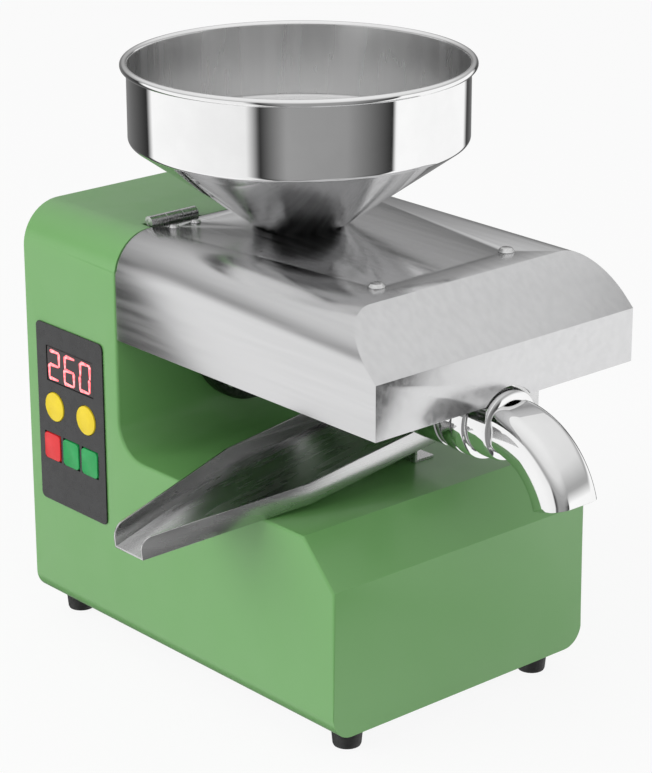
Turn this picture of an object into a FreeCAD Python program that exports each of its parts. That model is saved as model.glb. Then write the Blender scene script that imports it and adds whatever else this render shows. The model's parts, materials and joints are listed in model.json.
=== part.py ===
import FreeCAD, Part
import math
import os
import re
import Sketcher

# Household screw oil press. X = 0 is the front face of the gearbox column, +X runs towards the cake
# spout, Y = 0 is the plane of the screw, the control panel is on -Y and Z = 0 is the floor. Every
# sub-part is drawn there and then moved by one shift, so that the origin ends up under the middle of
# the whole machine. Lengths are millimetres, angles degrees.
sizes = {
    # housing
    "housingWide": 160.0, "columnDeep": 72.5, "columnHigh": 215.5, "baseReach": 154.9, "baseHigh": 106.6,
    "chamferRun": 20.8, "chamferDrop": 21.4, "shellWall": 1.5, "footHigh": 11.9, "topRound": 21.0,
    "sillRound": 11.0, "cornerRound": 17.0, "plateThick": 2.0, "fitGap": 0.3, "footRadius": 7.6,
    "footTaper": 0.85, "footFrontInset": 13.5, "footRearInset": 9.7, "footSideInset": 20.0,
    "footScrewRadius": 2.0, "footSinkRadius": 4.2, "footSinkDeep": 4.0, "footHeadHigh": 2.4,
    "footScrewSpare": 4.0, "bottomSlotLong": 50.0, "bottomSlotWide": 4.0, "bottomSlotPitch": 9.0,
    "louvreLong": 70.0, "louvreWide": 3.0, "louvrePitch": 8.0, "louvreLow": 96.0, "socketWide": 27.4,
    "socketHigh": 19.8, "socketDeep": 20.0, "socketRim": 3.5, "socketProud": 2.5, "socketY": 38.0,
    "socketZ": 44.0, "socketPinLong": 13.0, "socketWall": 2.0, "socketFloor": 0.5, "socketPinPitch": 7.0,
    "socketPinDrop": 4.0, "socketPinWide": 2.0, "socketPinHigh": 4.0,
    # control panel
    "panelX": -37.3, "panelZ": 112.9, "panelWide": 53.5, "panelHigh": 92.8, "panelThick": 0.8,
    "panelRound": 3.0, "displayZ": 139.05, "displayWide": 39.5, "displayHigh": 20.1, "windowLap": 1.0,
    "displayInset": 0.3, "roundKeyRadius": 7.3, "roundKeyZ": 117.3, "roundKeySpan": 25.5,
    "roundKeyShift": -0.25, "squareKeyWide": 12.5, "squareKeyHigh": 13.4, "squareKeyZ": 95.8,
    "squareKeySpan": 15.15, "squareKeyShift": -0.55, "keyRound": 2.2, "keyGap": 0.25, "keyProud": 0.6,
    "keyTravel": 0.4, "keyLip": 0.6, "keyRoom": 5.0, "keyFlange": 0.9, "keyStemRadius": 1.8,
    "boardGap": 6.0, "boardThick": 1.6, "boardInset": 2.5, "switchWide": 6.0, "stemReach": 2.0,
    "switchGap": 0.1, "standoffRadius": 2.5, "standoffInset": 3.6,
    # hood and its hinges
    "hoodInset": 0.4, "hoodReach": 181.5, "hoodCrest": 154.9, "hoodLow": 164.4, "seamHigh": 190.1,
    "hoodSheet": 1.2, "hoodGap": 0.4, "hoodScrewX": 138.4, "hoodScrewY": 40.0, "screwHeadRadius": 4.0,
    "screwHeadHigh": 1.6, "screwRadius": 2.0, "stripWide": 16.0, "stripLong": 110.0, "stripThick": 2.0,
    "stripLip": 9.0, "hingeX": -3.1, "hingeZ": 216.8, "hingeY": 42.5, "hingeLong": 28.0,
    "knuckleRadius": 3.0, "pinRadius": 1.25, "pinPlay": 0.05, "hingeLeafThick": 1.2, "hoodLeafReach": 11.5,
    "fixedLeafDrop": 15.5, "hingeScrewX": 6.9, "hingeScrewSpan": 13.0, "smallScrewRadius": 1.5,
    "smallHeadRadius": 2.7, "smallHeadHigh": 1.0, "notchDeep": 3.4,
    # hopper
    "hopperX": 40.55, "bowlRadius": 80.2, "bowlSheet": 0.8, "bowlLow": 257.6, "bowlHigh": 293.0,
    "beadRadius": 1.9, "bowlRound": 3.0, "coneFootRadius": 21.6, "neckRadius": 17.5, "neckDrop": 6.5,
    "neckGap": 0.5,
    # press head
    "screwZ": 153.0, "flangeRadius": 34.5, "flangeThick": 8.4, "flangeRelief": 5.5, "flangeBevel": 1.5,
    "flangeBoltCircle": 27.0, "flangeBoltRadius": 2.5, "boltHeadRadius": 4.2, "boltHeadHigh": 4.0,
    "barrelRadius": 16.8, "barrelBore": 13.4, "barrelEnd": 162.0, "barrelBevel": 0.6, "throatRadius": 16.5,
    "throatBore": 12.8, "throatTop": 205.0, "throatFlare": 3.0, "slotFirst": 72.0, "slotPitch": 4.0,
    "slotWide": 1.2, "slotDeep": 7.5, "heaterStart": 114.0, "heaterEnd": 153.0, "heaterRadius": 18.5,
    "sensorX": 126.0, "sensorRadius": 3.0, "sensorHigh": 12.0, "bandBevel": 0.5, "bandSplit": 2.0,
    "bracketX": 154.0, "bracketThick": 1.6, "bracketRing": 18.2, "bracketReach": 46.0, "bracketLow": 140.0,
    "bracketHigh": 176.0, "nutRadius": 19.0, "nutStart": 157.0, "nutEnd": 171.2, "nutGrooveWide": 1.4,
    "nutGrooveDeep": 1.6, "nutNotchWide": 6.0, "nutNotchDeep": 2.6, "nutNotchLong": 4.0, "chokeBore": 11.4,
    "chokeLong": 4.0, "nutLip": 14.6, "nutBevel": 1.0, "wormRadius": 13.0, "wormRootStart": 7.5,
    "wormRootEnd": 10.0, "wormStart": 14.0, "wormEnd": 157.0, "wormPitch": 19.0, "wormCrest": 2.2,
    "wormFoot": 3.6, "tailRadius": 5.2, "tailLong": 24.0, "coneEndRadius": 7.0, "coneLong": 9.0,
    # cake spout
    "spoutCollar": 16.8, "collarGap": 1.2, "seatGap": 0.05, "collarWall": 2.4, "collarEnd": 184.0,
    "spigotLong": 4.0, "spoutWide": 27.0, "spoutDeep": 21.4, "spoutRound": 7.0, "spoutWall": 1.8,
    "spoutBendX": 181.3, "spoutBend": 37.4, "spoutTurn": 75.0,
    # oil tray
    "trayX": 84.5, "trayHalf": 29.7, "trayMouth": 10.1, "trayTilt": 7.6, "trayRear": 32.0,
    "trayTaper": 57.9, "trayTip": 140.3, "trayWallHigh": 10.3, "traySheet": 1.0, "trayTipRound": 6.0,
    "trayLift": 0.3, "restWide": 36.0, "restY": 18.0, "restDeep": 12.0, "restSheet": 1.5,
    # gearbox and motor
    "caseLong": 56.5, "caseWall": 5.0, "caseHalf": 50.0, "caseLow": 28.0, "caseFoot": 20.0,
    "caseStep": 70.0, "caseHigh": 198.0, "caseRound": 6.0, "pressureAngle": 25.0, "toothTop": 0.8,
    "toothRoot": 1.05, "toothFill": 0.92, "motorZ": 58.0, "motorRadius": 38.0, "motorLong": 92.0,
    "motorWall": 6.0, "motorCap": 9.0, "capBevel": 3.0, "shaftRoom": 1.5, "motorShaft": 4.0,
    "rotorGap": 0.6, "fanRadius": 27.0, "fanThick": 7.0, "ventRadius": 5.0, "fanHub": 8.8,
    "fanBladeThick": 1.6, "motorModule": 1.0, "middleModule": 1.25, "outputModule": 1.5, "pinionTeeth": 12,
    "firstTeeth": 50, "secondTeeth": 46, "outputTeeth": 50, "firstFace": 8.0, "secondFace": 10.0,
    "outputFace": 14.0, "firstStageX": -22.0, "secondStageX": -36.0, "outputStageX": -54.0,
    "idlerOffset": 14.0, "idlerShaft": 5.0, "outputShaft": 10.0, "shaftPlay": 0.05, "bearingRadius": 15.0,
    "cradleX": 34.0, "cradleLong": 26.0, "cradleHalf": 24.0,
}

doc = FreeCAD.newDocument("ScrewOilPress")
sheet = doc.addObject("Spreadsheet::Sheet", "Dims")
for row, (name, value) in enumerate(sizes.items(), 1):
    sheet.set("A%d" % row, name)
    sheet.set("B%d" % row, str(value))
    sheet.setAlias("B%d" % row, name)

# Lengths worked out by the sheet. The hood and the feet follow the housing. In the gear train the
# output and the motor stay where they are, and the two idlers take up the places that their tooth
# counts ask for.
derived = {
    "hoodWide": "housingWide - 2 * hoodInset",
    "footFrontX": "baseReach - footFrontInset",
    "footRearX": "footRearInset - columnDeep",
    "footY": "housingWide / 2 - footSideInset",
    "firstGap": "motorModule * (pinionTeeth + firstTeeth) / 2",
    "secondGap": "middleModule * (pinionTeeth + secondTeeth) / 2",
    "outputGap": "outputModule * (pinionTeeth + outputTeeth) / 2",
    "idlerBZ": "screwZ - sqrt(outputGap ^ 2 - idlerOffset ^ 2)",
    "trainRise": "idlerBZ - motorZ",
    "trainSpan": "sqrt(idlerOffset ^ 2 + trainRise ^ 2)",
    "trainAlong": "(firstGap ^ 2 - secondGap ^ 2 + trainSpan ^ 2) / (2 * trainSpan)",
    "trainAside": "sqrt(firstGap ^ 2 - trainAlong ^ 2)",
    "idlerAY": "(trainAlong * idlerOffset - trainAside * trainRise) / trainSpan",
    "idlerAZ": "motorZ + (trainAlong * trainRise + trainAside * idlerOffset) / trainSpan",
}
for row, (name, formula) in enumerate(derived.items(), len(sizes) + 1):
    sheet.set("A%d" % row, name)
    sheet.set("B%d" % row, "=" + formula)
    sheet.setAlias("B%d" % row, name)
    doc.recompute()

# Lengths that follow from the driving ones.
frontMost = "(spoutBendX + (spoutBend + spoutDeep / 2) * sin(spoutTurn))"
rearMost = "(columnDeep + socketProud)"
nearMost = ("((trayTip - trayTipRound) * cos(trayTilt)"
            " + (trayWallHigh - trayTipRound) * sin(trayTilt) + trayTipRound)")
farMost = "max(housingWide / 2; bowlRadius - bowlSheet + 2 * beadRadius)"
shiftX = "((%s - %s) / 2)" % (rearMost, frontMost)
shiftY = "((%s - %s) / 2)" % (nearMost, farMost)
shellInside = "(housingWide / 2 - shellWall)"
hoodTopInside = "(columnHigh - hoodSheet)"
boardFace = "(%s - boardGap)" % shellInside
parts = []


def bound(text):
    # Every alias in an expression gets the name of the sheet in front of it.
    return re.sub(r"[A-Za-z]\w*", lambda word: "Dims." + word.group()
                  if word.group() in sizes or word.group() in derived else word.group(), str(text))


def bind(thing, **expressions):
    for path, text in expressions.items():
        thing.setExpression(path.replace("_", "."), bound(text))
    return thing


def size(name):
    return float(sheet.get(name))


def keep(thing, label, shifted=True):
    # A finished sub-part: its label is the name of its file, its placement carries the common shift.
    thing.Label = label
    parts.append(thing)
    if shifted:
        bind(thing, Placement_Base_x=shiftX, Placement_Base_y=shiftY)
    return thing


def originPart(body, role):
    return [piece for piece in body.Origin.OriginFeatures if piece.Role == role][0]


def newBody(name):
    return doc.addObject("PartDesign::Body", name)


def sketchOn(body, role, name, offset="0"):
    sketch = body.newObject("Sketcher::SketchObject", name)
    sketch.AttachmentSupport = [(originPart(body, role), "")]
    sketch.MapMode = "FlatFace"
    return bind(sketch, AttachmentOffset_Base_z=offset)


def outline(sketch, points):
    # A closed polygon: each corner is held by its two distances from the sketch's origin.
    first = sketch.GeometryCount
    count = len(points)
    start = [FreeCAD.Vector(math.cos(2 * math.pi * k / count), math.sin(2 * math.pi * k / count), 0)
             for k in range(count)]
    for k in range(count):
        sketch.addGeometry(Part.LineSegment(start[k], start[(k + 1) % count]), False)
    for k in range(count):
        sketch.addConstraint(Sketcher.Constraint("Coincident", first + k, 2, first + (k + 1) % count, 1))
    for k, corner in enumerate(points):
        for kind, text in zip(("DistanceX", "DistanceY"), corner):
            held = sketch.addConstraint(Sketcher.Constraint(kind, -1, 1, first + k, 1, 1.0))
            sketch.setExpression("Constraints[%d]" % held, bound(text))
    return sketch


def circle(sketch, x, y, radius):
    ring = sketch.addGeometry(Part.Circle(FreeCAD.Vector(1, 1, 0), FreeCAD.Vector(0, 0, 1), 1), False)
    for kind, text in (("DistanceX", x), ("DistanceY", y)):
        held = sketch.addConstraint(Sketcher.Constraint(kind, -1, 1, ring, 3, 1.0))
        sketch.setExpression("Constraints[%d]" % held, bound(text))
    held = sketch.addConstraint(Sketcher.Constraint("Radius", ring, 1.0))
    sketch.setExpression("Constraints[%d]" % held, bound(radius))
    return sketch


def rectangle(sketch, x, y, wide, high):
    left, right = "(%s) - (%s) / 2" % (x, wide), "(%s) + (%s) / 2" % (x, wide)
    low, top = "(%s) - (%s) / 2" % (y, high), "(%s) + (%s) / 2" % (y, high)
    return outline(sketch, [(left, low), (right, low), (right, top), (left, top)])


def grow(body, kind, sketch, name, length=None, midplane=False, back=False, through=False):
    # Pad or Pocket of a sketch.
    feature = body.newObject("PartDesign::" + kind, name)
    feature.Profile = sketch
    feature.Midplane = midplane
    feature.Reversed = back
    if through:
        feature.Type = "ThroughAll"
    else:
        bind(feature, Length=length)
    return feature


def turn(body, kind, sketch, name, role="X_Axis"):
    # Revolution or Groove of a sketch, a full turn about one of the body's own axes.
    feature = body.newObject("PartDesign::" + kind, name)
    feature.Profile = sketch
    feature.ReferenceAxis = (originPart(body, role), [""])
    feature.Angle = 360
    return feature


def edges(feature, test):
    doc.recompute()
    found = ["Edge%d" % (k + 1) for k, edge in enumerate(feature.Shape.Edges) if test(edge)]
    assert found, "no edge for " + feature.Name
    return found


def faces(feature, test):
    doc.recompute()
    found = ["Face%d" % (k + 1) for k, face in enumerate(feature.Shape.Faces) if test(face)]
    assert found, "no face for " + feature.Name
    return found


def runs(edge, direction):
    if edge.Curve.TypeId != "Part::GeomLine":
        return False
    return abs(abs(edge.Curve.Direction.dot(FreeCAD.Vector(*direction))) - 1) < 1e-6


def near(value, goal):
    return abs(value - goal) < 0.01


def roundOff(body, feature, name, radius, test):
    fillet = body.newObject("PartDesign::Fillet", name)
    fillet.Base = (feature, edges(feature, test))
    return bind(fillet, Radius=radius)


def shellOut(body, feature, name, wall, test):
    # Hollows the solid inwards and leaves the chosen faces open.
    shell = body.newObject("PartDesign::Thickness", name)
    shell.Base = (feature, faces(feature, test))
    shell.Reversed = True
    shell.Join = "Intersection"
    return bind(shell, Value=wall)


def copies(body, feature, name, role, pitch, count):
    pattern = body.newObject("PartDesign::LinearPattern", name)
    pattern.Originals = [feature]
    pattern.Direction = (originPart(body, role), [""])
    pattern.Mode = "Spacing"
    pattern.Occurrences = count
    bind(pattern, Offset=pitch)
    body.Tip = pattern
    return pattern


def aroundX(body, feature, name, count):
    pattern = body.newObject("PartDesign::PolarPattern", name)
    pattern.Originals = [feature]
    pattern.Axis = (originPart(body, "X_Axis"), [""])
    pattern.Angle = 360
    pattern.Occurrences = count
    body.Tip = pattern
    return pattern


def box(name, x, y, z, long, wide, high):
    block = doc.addObject("Part::Box", name)
    bind(block, Length=long, Width=wide, Height=high)
    return bind(block, Placement_Base_x=x, Placement_Base_y=y, Placement_Base_z=z)


def rod(name, axis, x, y, z, radius, long):
    # A cylinder that starts at x, y, z and runs along +X, +Y or +Z.
    turned = {"X": FreeCAD.Rotation(FreeCAD.Vector(0, 1, 0), 90), "Z": FreeCAD.Rotation(),
              "Y": FreeCAD.Rotation(FreeCAD.Vector(1, 0, 0), -90)}
    cylinder = doc.addObject("Part::Cylinder", name)
    cylinder.Placement = FreeCAD.Placement(FreeCAD.Vector(), turned[axis])
    bind(cylinder, Radius=radius, Height=long)
    return bind(cylinder, Placement_Base_x=x, Placement_Base_y=y, Placement_Base_z=z)


def cut(name, base, tool):
    result = doc.addObject("Part::Cut", name)
    result.Base, result.Tool = base, tool
    return result


def fuse(name, pieces):
    result = doc.addObject("Part::MultiFuse", name)
    result.Shapes = pieces
    return result


def group(name, pieces):
    # Separate solids that share one node, such as a set of screws.
    result = doc.addObject("Part::Compound", name)
    result.Links = pieces
    return result


# ---- housing: one folded sheet wrap, open at the back and underneath
def wrapSolid(name, wall):
    # The wrap's outer form, or with a wall the form of the room inside it.
    body = newBody(name)
    back = "(-columnDeep)" if wall == "0" else "(-columnDeep - 1)"
    length = "sqrt(chamferRun ^ 2 + chamferDrop ^ 2)"
    side = outline(sketchOn(body, "XZ_Plane", "wrapSide"), [
        (back, "footHigh + " + wall), ("baseReach - " + wall, "footHigh + " + wall),
        ("baseReach - " + wall, "baseHigh - chamferDrop + %s * (chamferDrop - %s) / chamferRun" % (wall,
                length)),
        ("baseReach - chamferRun + %s * (chamferRun - %s) / chamferDrop" % (wall, length),
         "baseHigh - " + wall),
        ("-" + wall, "baseHigh - " + wall), ("-" + wall, "columnHigh - " + wall), (back,
                "columnHigh - " + wall)])
    block = grow(body, "Pad", side, "wrapBlock", "housingWide - 2 * " + wall, midplane=True)
    inset = 0 if wall == "0" else size(wall)
    top, foot, inner = size("columnHigh") - inset, size("footHigh") + inset, size("baseHigh") - inset
    halfWide = size("housingWide") / 2 - inset
    crown = roundOff(body, block, "topRounding", "topRound - " + wall, lambda edge: runs(edge, (1, 0, 0))
                     and near(edge.CenterOfMass.z, top) and near(abs(edge.CenterOfMass.y), halfWide))
    sill = roundOff(body, crown, "sillRounding", "sillRound - " + wall, lambda edge: runs(edge, (1, 0, 0))
                    and near(edge.CenterOfMass.z, foot) and near(abs(edge.CenterOfMass.y), halfWide))
    roundOff(body, sill, "cornerRounding", "cornerRound + " + wall, lambda edge: runs(edge, (0, 1, 0))
             and near(edge.CenterOfMass.z, inner) and near(edge.CenterOfMass.x, -inset))
    return body


def housingShell():
    body = wrapSolid("wrap", "0")
    windows = sketchOn(body, "XZ_Plane", "panelWindows", "housingWide / 2 + 1")
    rectangle(windows, "panelX", "displayZ", "displayWide - windowLap", "displayHigh - windowLap")
    keyField = "roundKeySpan + 2 * roundKeyRadius + 2 * keyLip + keyRoom"
    keyTop = "(roundKeyZ + roundKeyRadius + keyLip + keyGap)"
    keyFoot = "(squareKeyZ - squareKeyHigh / 2 - keyLip - keyGap)"
    rectangle(windows, "panelX + squareKeyShift / 2", "(%s + %s) / 2" % (keyTop, keyFoot),
              keyField, "%s - %s" % (keyTop, keyFoot))
    open1 = grow(body, "Pocket", windows, "panelOpenings", "shellWall + 2")
    drive = circle(sketchOn(body, "YZ_Plane", "driveHole", "1"), "0", "screwZ", "outputShaft + 2")
    for side in ("-", ""):
        for rise in ("- ", "+ "):
            reach = "flangeBoltCircle * sqrt(0.5)"
            circle(drive, side + reach, "screwZ " + rise + reach, "flangeBoltRadius + fitGap")
    open2 = grow(body, "Pocket", drive, "driveOpening", "shellWall + 2")
    notches = sketchOn(body, "XY_Plane", "hingeNotches", "columnHigh + 1")
    for side in ("", "-"):
        rectangle(notches, "hingeX", side + "hingeY", "2 * (knuckleRadius + 1) + 2 * fitGap",
                  "hingeLong + 2")
    open3 = grow(body, "Pocket", notches, "hingeOpenings", "notchDeep + 1")
    doc.recompute()
    assert open3.Shape.Volume < open2.Shape.Volume < open1.Shape.Volume
    floor = box("underside", "-columnDeep - 1", "-housingWide / 2 + sillRound", "footHigh - 1",
                "columnDeep + 1 + baseReach - shellWall", "housingWide - 2 * sillRound", "shellWall + 2")
    shell = cut("housingShell", body, fuse("housingRoom", [wrapSolid("room", "shellWall"), floor]))
    return keep(shell, "housing_shell")


def housingPlates():
    # Bottom plate between the rolled sills, with cooling slots under the motor.
    body = newBody("bottom")
    inset = "(shellWall + fitGap)"
    plan = outline(sketchOn(body, "XY_Plane", "bottomPlan"), [
        ("-columnDeep + %s" % inset, "-housingWide / 2 + sillRound + fitGap"),
        ("baseReach - %s" % inset, "-housingWide / 2 + sillRound + fitGap"),
        ("baseReach - %s" % inset, "housingWide / 2 - sillRound - fitGap"),
        ("-columnDeep + %s" % inset, "housingWide / 2 - sillRound - fitGap")])
    plate = grow(body, "Pad", plan, "bottomSheet", "plateThick")
    slot = rectangle(sketchOn(body, "XY_Plane", "bottomSlot", "-1"), "cradleX - cradleLong / 2 - 16", "0",
                     "bottomSlotWide", "bottomSlotLong")
    cutSlot = grow(body, "Pocket", slot, "bottomSlotCut", back=True, length="plateThick + 2")
    rows = copies(body, cutSlot, "bottomSlots", "X_Axis", "bottomSlotPitch", 9)
    holes = sketchOn(body, "XY_Plane", "footHoles", "-1")
    for x in ("footFrontX", "footRearX"):
        for y in ("footY", "-footY"):
            circle(holes, x, y, "footScrewRadius + fitGap / 2")
    drilled = grow(body, "Pocket", holes, "footHoleCut", back=True, length="plateThick + 2")
    doc.recompute()
    assert drilled.Shape.Volume < rows.Shape.Volume < plate.Shape.Volume
    bind(body, Placement_Base_z="footHigh")
    keep(body, "bottom_plate")

    # Rear panel: follows the wrap's own outline, with louvres above and the power inlet below.
    body = newBody("rear")
    wide, top = "(%s - fitGap)" % shellInside, "(columnHigh - shellWall - fitGap)"
    low = "(footHigh + plateThick + fitGap)"
    face = outline(sketchOn(body, "YZ_Plane", "rearOutline", "-columnDeep"), [
        ("-" + wide, low), (wide, low), (wide, top), ("-" + wide, top)])
    panel = grow(body, "Pad", face, "rearSheet", "shellWall")
    crown = roundOff(body, panel, "rearCrown", "topRound - shellWall - fitGap", lambda edge: runs(edge, (1,
            0, 0))
                     and edge.CenterOfMass.z > size("columnHigh") / 2)
    sill = roundOff(body, crown, "rearSill", "sillRound - shellWall - fitGap", lambda edge: runs(edge, (1,
            0, 0))
                    and edge.CenterOfMass.z < size("columnHigh") / 2 and not near(edge.CenterOfMass.y, 0))
    socket = rectangle(sketchOn(body, "YZ_Plane", "socketHole", "-columnDeep - 1"), "socketY", "socketZ",
                       "socketWide + 2 * fitGap", "socketHigh + 2 * fitGap")
    opened = grow(body, "Pocket", socket, "socketCut", back=True, length="shellWall + 2")
    louvre = rectangle(sketchOn(body, "YZ_Plane", "louvreHole", "-columnDeep - 1"), "0", "louvreLow",
                       "louvreLong", "louvreWide")
    slit = grow(body, "Pocket", louvre, "louvreCut", back=True, length="shellWall + 2")
    copies(body, slit, "louvres", "Z_Axis", "louvrePitch", 11)
    keep(body, "rear_panel")
    doc.recompute()
    assert opened.Shape.Volume < sill.Shape.Volume and body.Shape.Volume < slit.Shape.Volume


def feet():
    corners = [(x, y) for x in ("footFrontX", "footRearX") for y in ("-footY", "footY")]
    names = ("foot_front_near", "foot_front_far", "foot_rear_near", "foot_rear_far")
    for name, (x, y) in zip(names, corners):
        body = newBody("foot")
        half = outline(sketchOn(body, "XZ_Plane", "footHalf"), [
            ("footScrewRadius + fitGap / 2", "footSinkDeep"), ("footSinkRadius + fitGap", "footSinkDeep"),
            ("footSinkRadius + fitGap", "0"), ("footRadius - footTaper", "0"), ("footRadius", "footHigh"),
            ("footScrewRadius + fitGap / 2", "footHigh")])
        turn(body, "Revolution", half, "footTurned", "Z_Axis")
        bind(body, Placement_Base_x=x + " + " + shiftX, Placement_Base_y=y + " + " + shiftY)
        keep(body, name, shifted=False)
    screws = []
    for x, y in corners:
        head = rod("footScrewHead", "Z", x, y, "footSinkDeep - footHeadHigh", "footSinkRadius - fitGap",
                   "footHeadHigh")
        shank = rod("footScrewShank", "Z", x, y, "footSinkDeep - 1", "footScrewRadius",
                    "footHigh + plateThick - footSinkDeep + footScrewSpare")
        screws.append(fuse("footScrew", [head, shank]))
    keep(group("footScrews", screws), "foot_screws")


# ---- control panel
keyColumns = {"button_temperature_up": ("panelX + roundKeyShift - roundKeySpan / 2", "round"),
              "button_temperature_down": ("panelX + roundKeyShift + roundKeySpan / 2", "round"),
              "button_power": ("panelX + squareKeyShift - squareKeySpan", "square"),
              "button_press": ("panelX + squareKeyShift", "square"),
              "button_clear": ("panelX + squareKeyShift + squareKeySpan", "square")}


def keyShape(sketch, column, kind, extra):
    # Outline of one key, grown by extra on every side.
    if kind == "round":
        circle(sketch, column, "roundKeyZ", "roundKeyRadius + " + extra)
    else:
        rectangle(sketch, column, "squareKeyZ", "squareKeyWide + 2 * (%s)" % extra,
                  "squareKeyHigh + 2 * (%s)" % extra)
    return sketch


def controlPanel():
    body = newBody("panel")
    face = rectangle(sketchOn(body, "XZ_Plane", "panelFace", "housingWide / 2"), "panelX", "panelZ",
                     "panelWide", "panelHigh")
    film = grow(body, "Pad", face, "panelFilm", "panelThick")
    rounded = roundOff(body, film, "panelCorners", "panelRound", lambda edge: runs(edge, (0, 1, 0)))
    holes = sketchOn(body, "XZ_Plane", "panelHoles", "housingWide / 2 + panelThick + 1")
    rectangle(holes, "panelX", "displayZ", "displayWide - windowLap - 1", "displayHigh - windowLap - 1")
    for column, kind in keyColumns.values():
        keyShape(holes, column, kind, "keyGap")
    opened = grow(body, "Pocket", holes, "panelHoleCut", "panelThick + 2")
    doc.recompute()
    assert opened.Shape.Volume < rounded.Shape.Volume
    keep(body, "control_panel")

    # Display: a glass face in the panel's window and a block behind the wrap, standing on the board.
    layers = []
    for name, lap, start, deep in (
            ("displayGlass", "windowLap + 1 + 2 * fitGap", "-housingWide / 2 - panelThick + displayInset",
             "panelThick + shellWall"),
            ("displayNeck", "windowLap + 2 * fitGap", "-housingWide / 2", "shellWall + boardGap / 2"),
            ("displayBlock", "windowLap", "-%s + fitGap" % shellInside, "boardGap - fitGap")):
        wide, high = "(displayWide - (%s))" % lap, "(displayHigh - (%s))" % lap
        layers.append(box(name, "panelX - %s / 2" % wide, start, "displayZ - %s / 2" % high, wide, deep,
                          high))
    keep(fuse("display", layers), "display_module")


def keys():
    lipFace = "housingWide / 2"
    for label, (column, kind) in keyColumns.items():
        body = newBody("key")
        cap = keyShape(sketchOn(body, "XZ_Plane", "keyCap", lipFace + " - fitGap - keyFlange / 2"),
                       column, kind, "0")
        head = grow(body, "Pad", cap, "keyHead", "fitGap + keyFlange / 2 + panelThick + keyProud")
        if kind == "square":
            head = roundOff(body, head, "keyCorners", "keyRound", lambda edge: runs(edge, (0, 1, 0)))
        lip = keyShape(sketchOn(body, "XZ_Plane", "keyLip", lipFace + " - fitGap"), column, kind, "keyLip")
        grow(body, "Pad", lip, "keyFlange", "keyFlange", back=True)
        zLine = "roundKeyZ" if kind == "round" else "squareKeyZ"
        stem = circle(sketchOn(body, "XZ_Plane", "keyStem", lipFace + " - fitGap"), column, zLine,
                      "keyStemRadius")
        grow(body, "Pad", stem, "keyPost", "shellWall + stemReach - fitGap", back=True)
        keep(body, label)


def controlBoard():
    wide, high = "(panelWide - 2 * boardInset)", "(panelHigh - 2 * boardInset)"
    left, low = "(panelX - %s / 2)" % wide, "(panelZ - %s / 2)" % high
    plate = box("boardPlate", left, "-" + boardFace, low, wide, "boardThick", high)
    switches = []
    tip = "(stemReach + keyTravel + switchGap)"
    for column, kind in keyColumns.values():
        row = "roundKeyZ" if kind == "round" else "squareKeyZ"
        switches.append(box("switch", "%s - switchWide / 2" % column, "-%s + %s" % (shellInside, tip),
                            row + " - switchWide / 2", "switchWide", "boardGap - %s + boardThick / 2" % tip,
                            "switchWide"))
    whole = fuse("boardWithSwitches", [plate] + switches)
    posts, bores = [], []
    for x in (left + " + standoffInset", left + " + %s - standoffInset" % wide):
        for z in (low + " + standoffInset", low + " + %s - standoffInset" % high):
            posts.append(rod("standoff", "Y", x, "-" + shellInside, z, "standoffRadius", "boardGap"))
            bores.append(rod("boardBore", "Y", x, "-%s - 1" % boardFace, z, "standoffRadius / 2",
                             "boardThick + 2"))
    keep(cut("controlBoard", whole, fuse("boardBores", bores)), "control_board")
    keep(group("standoffs", posts), "board_standoffs")


# ---- hood: inverted U of satin sheet with a sloping front top plate
def hoodSolid(name, inset):
    body = newBody(name)
    low = "(hoodLow - %s)" % inset
    arch = rectangle(sketchOn(body, "YZ_Plane", "hoodSection", "hoodGap - " + inset), "0",
                     "(%s + columnHigh - %s) / 2" % (low, inset), "hoodWide - 2 * " + inset,
                     "columnHigh - %s - %s" % (inset, low))
    block = grow(body, "Pad", arch, "hoodBlock", "hoodReach - hoodGap")
    top = size("columnHigh") - (0 if inset == "0" else size(inset))
    crown = roundOff(body, block, "hoodRounding", "topRound - " + inset, lambda edge: runs(edge, (1, 0, 0))
                     and near(edge.CenterOfMass.z, top))
    run, rise = "(hoodReach - hoodCrest)", "(columnHigh - seamHigh)"
    back = "(%s * sqrt(%s ^ 2 + %s ^ 2) / %s)" % (inset, run, rise, rise)
    slope = outline(sketchOn(body, "XZ_Plane", "hoodSlope"), [
        ("hoodReach - %s + 6 * %s / %s" % (back, run, rise), "seamHigh - 6"), ("hoodReach + 10",
                "seamHigh - 6"),
        ("hoodReach + 10", "columnHigh + 1"), ("hoodCrest - %s - %s / %s" % (back, run, rise),
                                               "columnHigh + 1")])
    grow(body, "Pocket", slope, "hoodSlopeCut", "hoodWide + 10", midplane=True)
    return body


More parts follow.
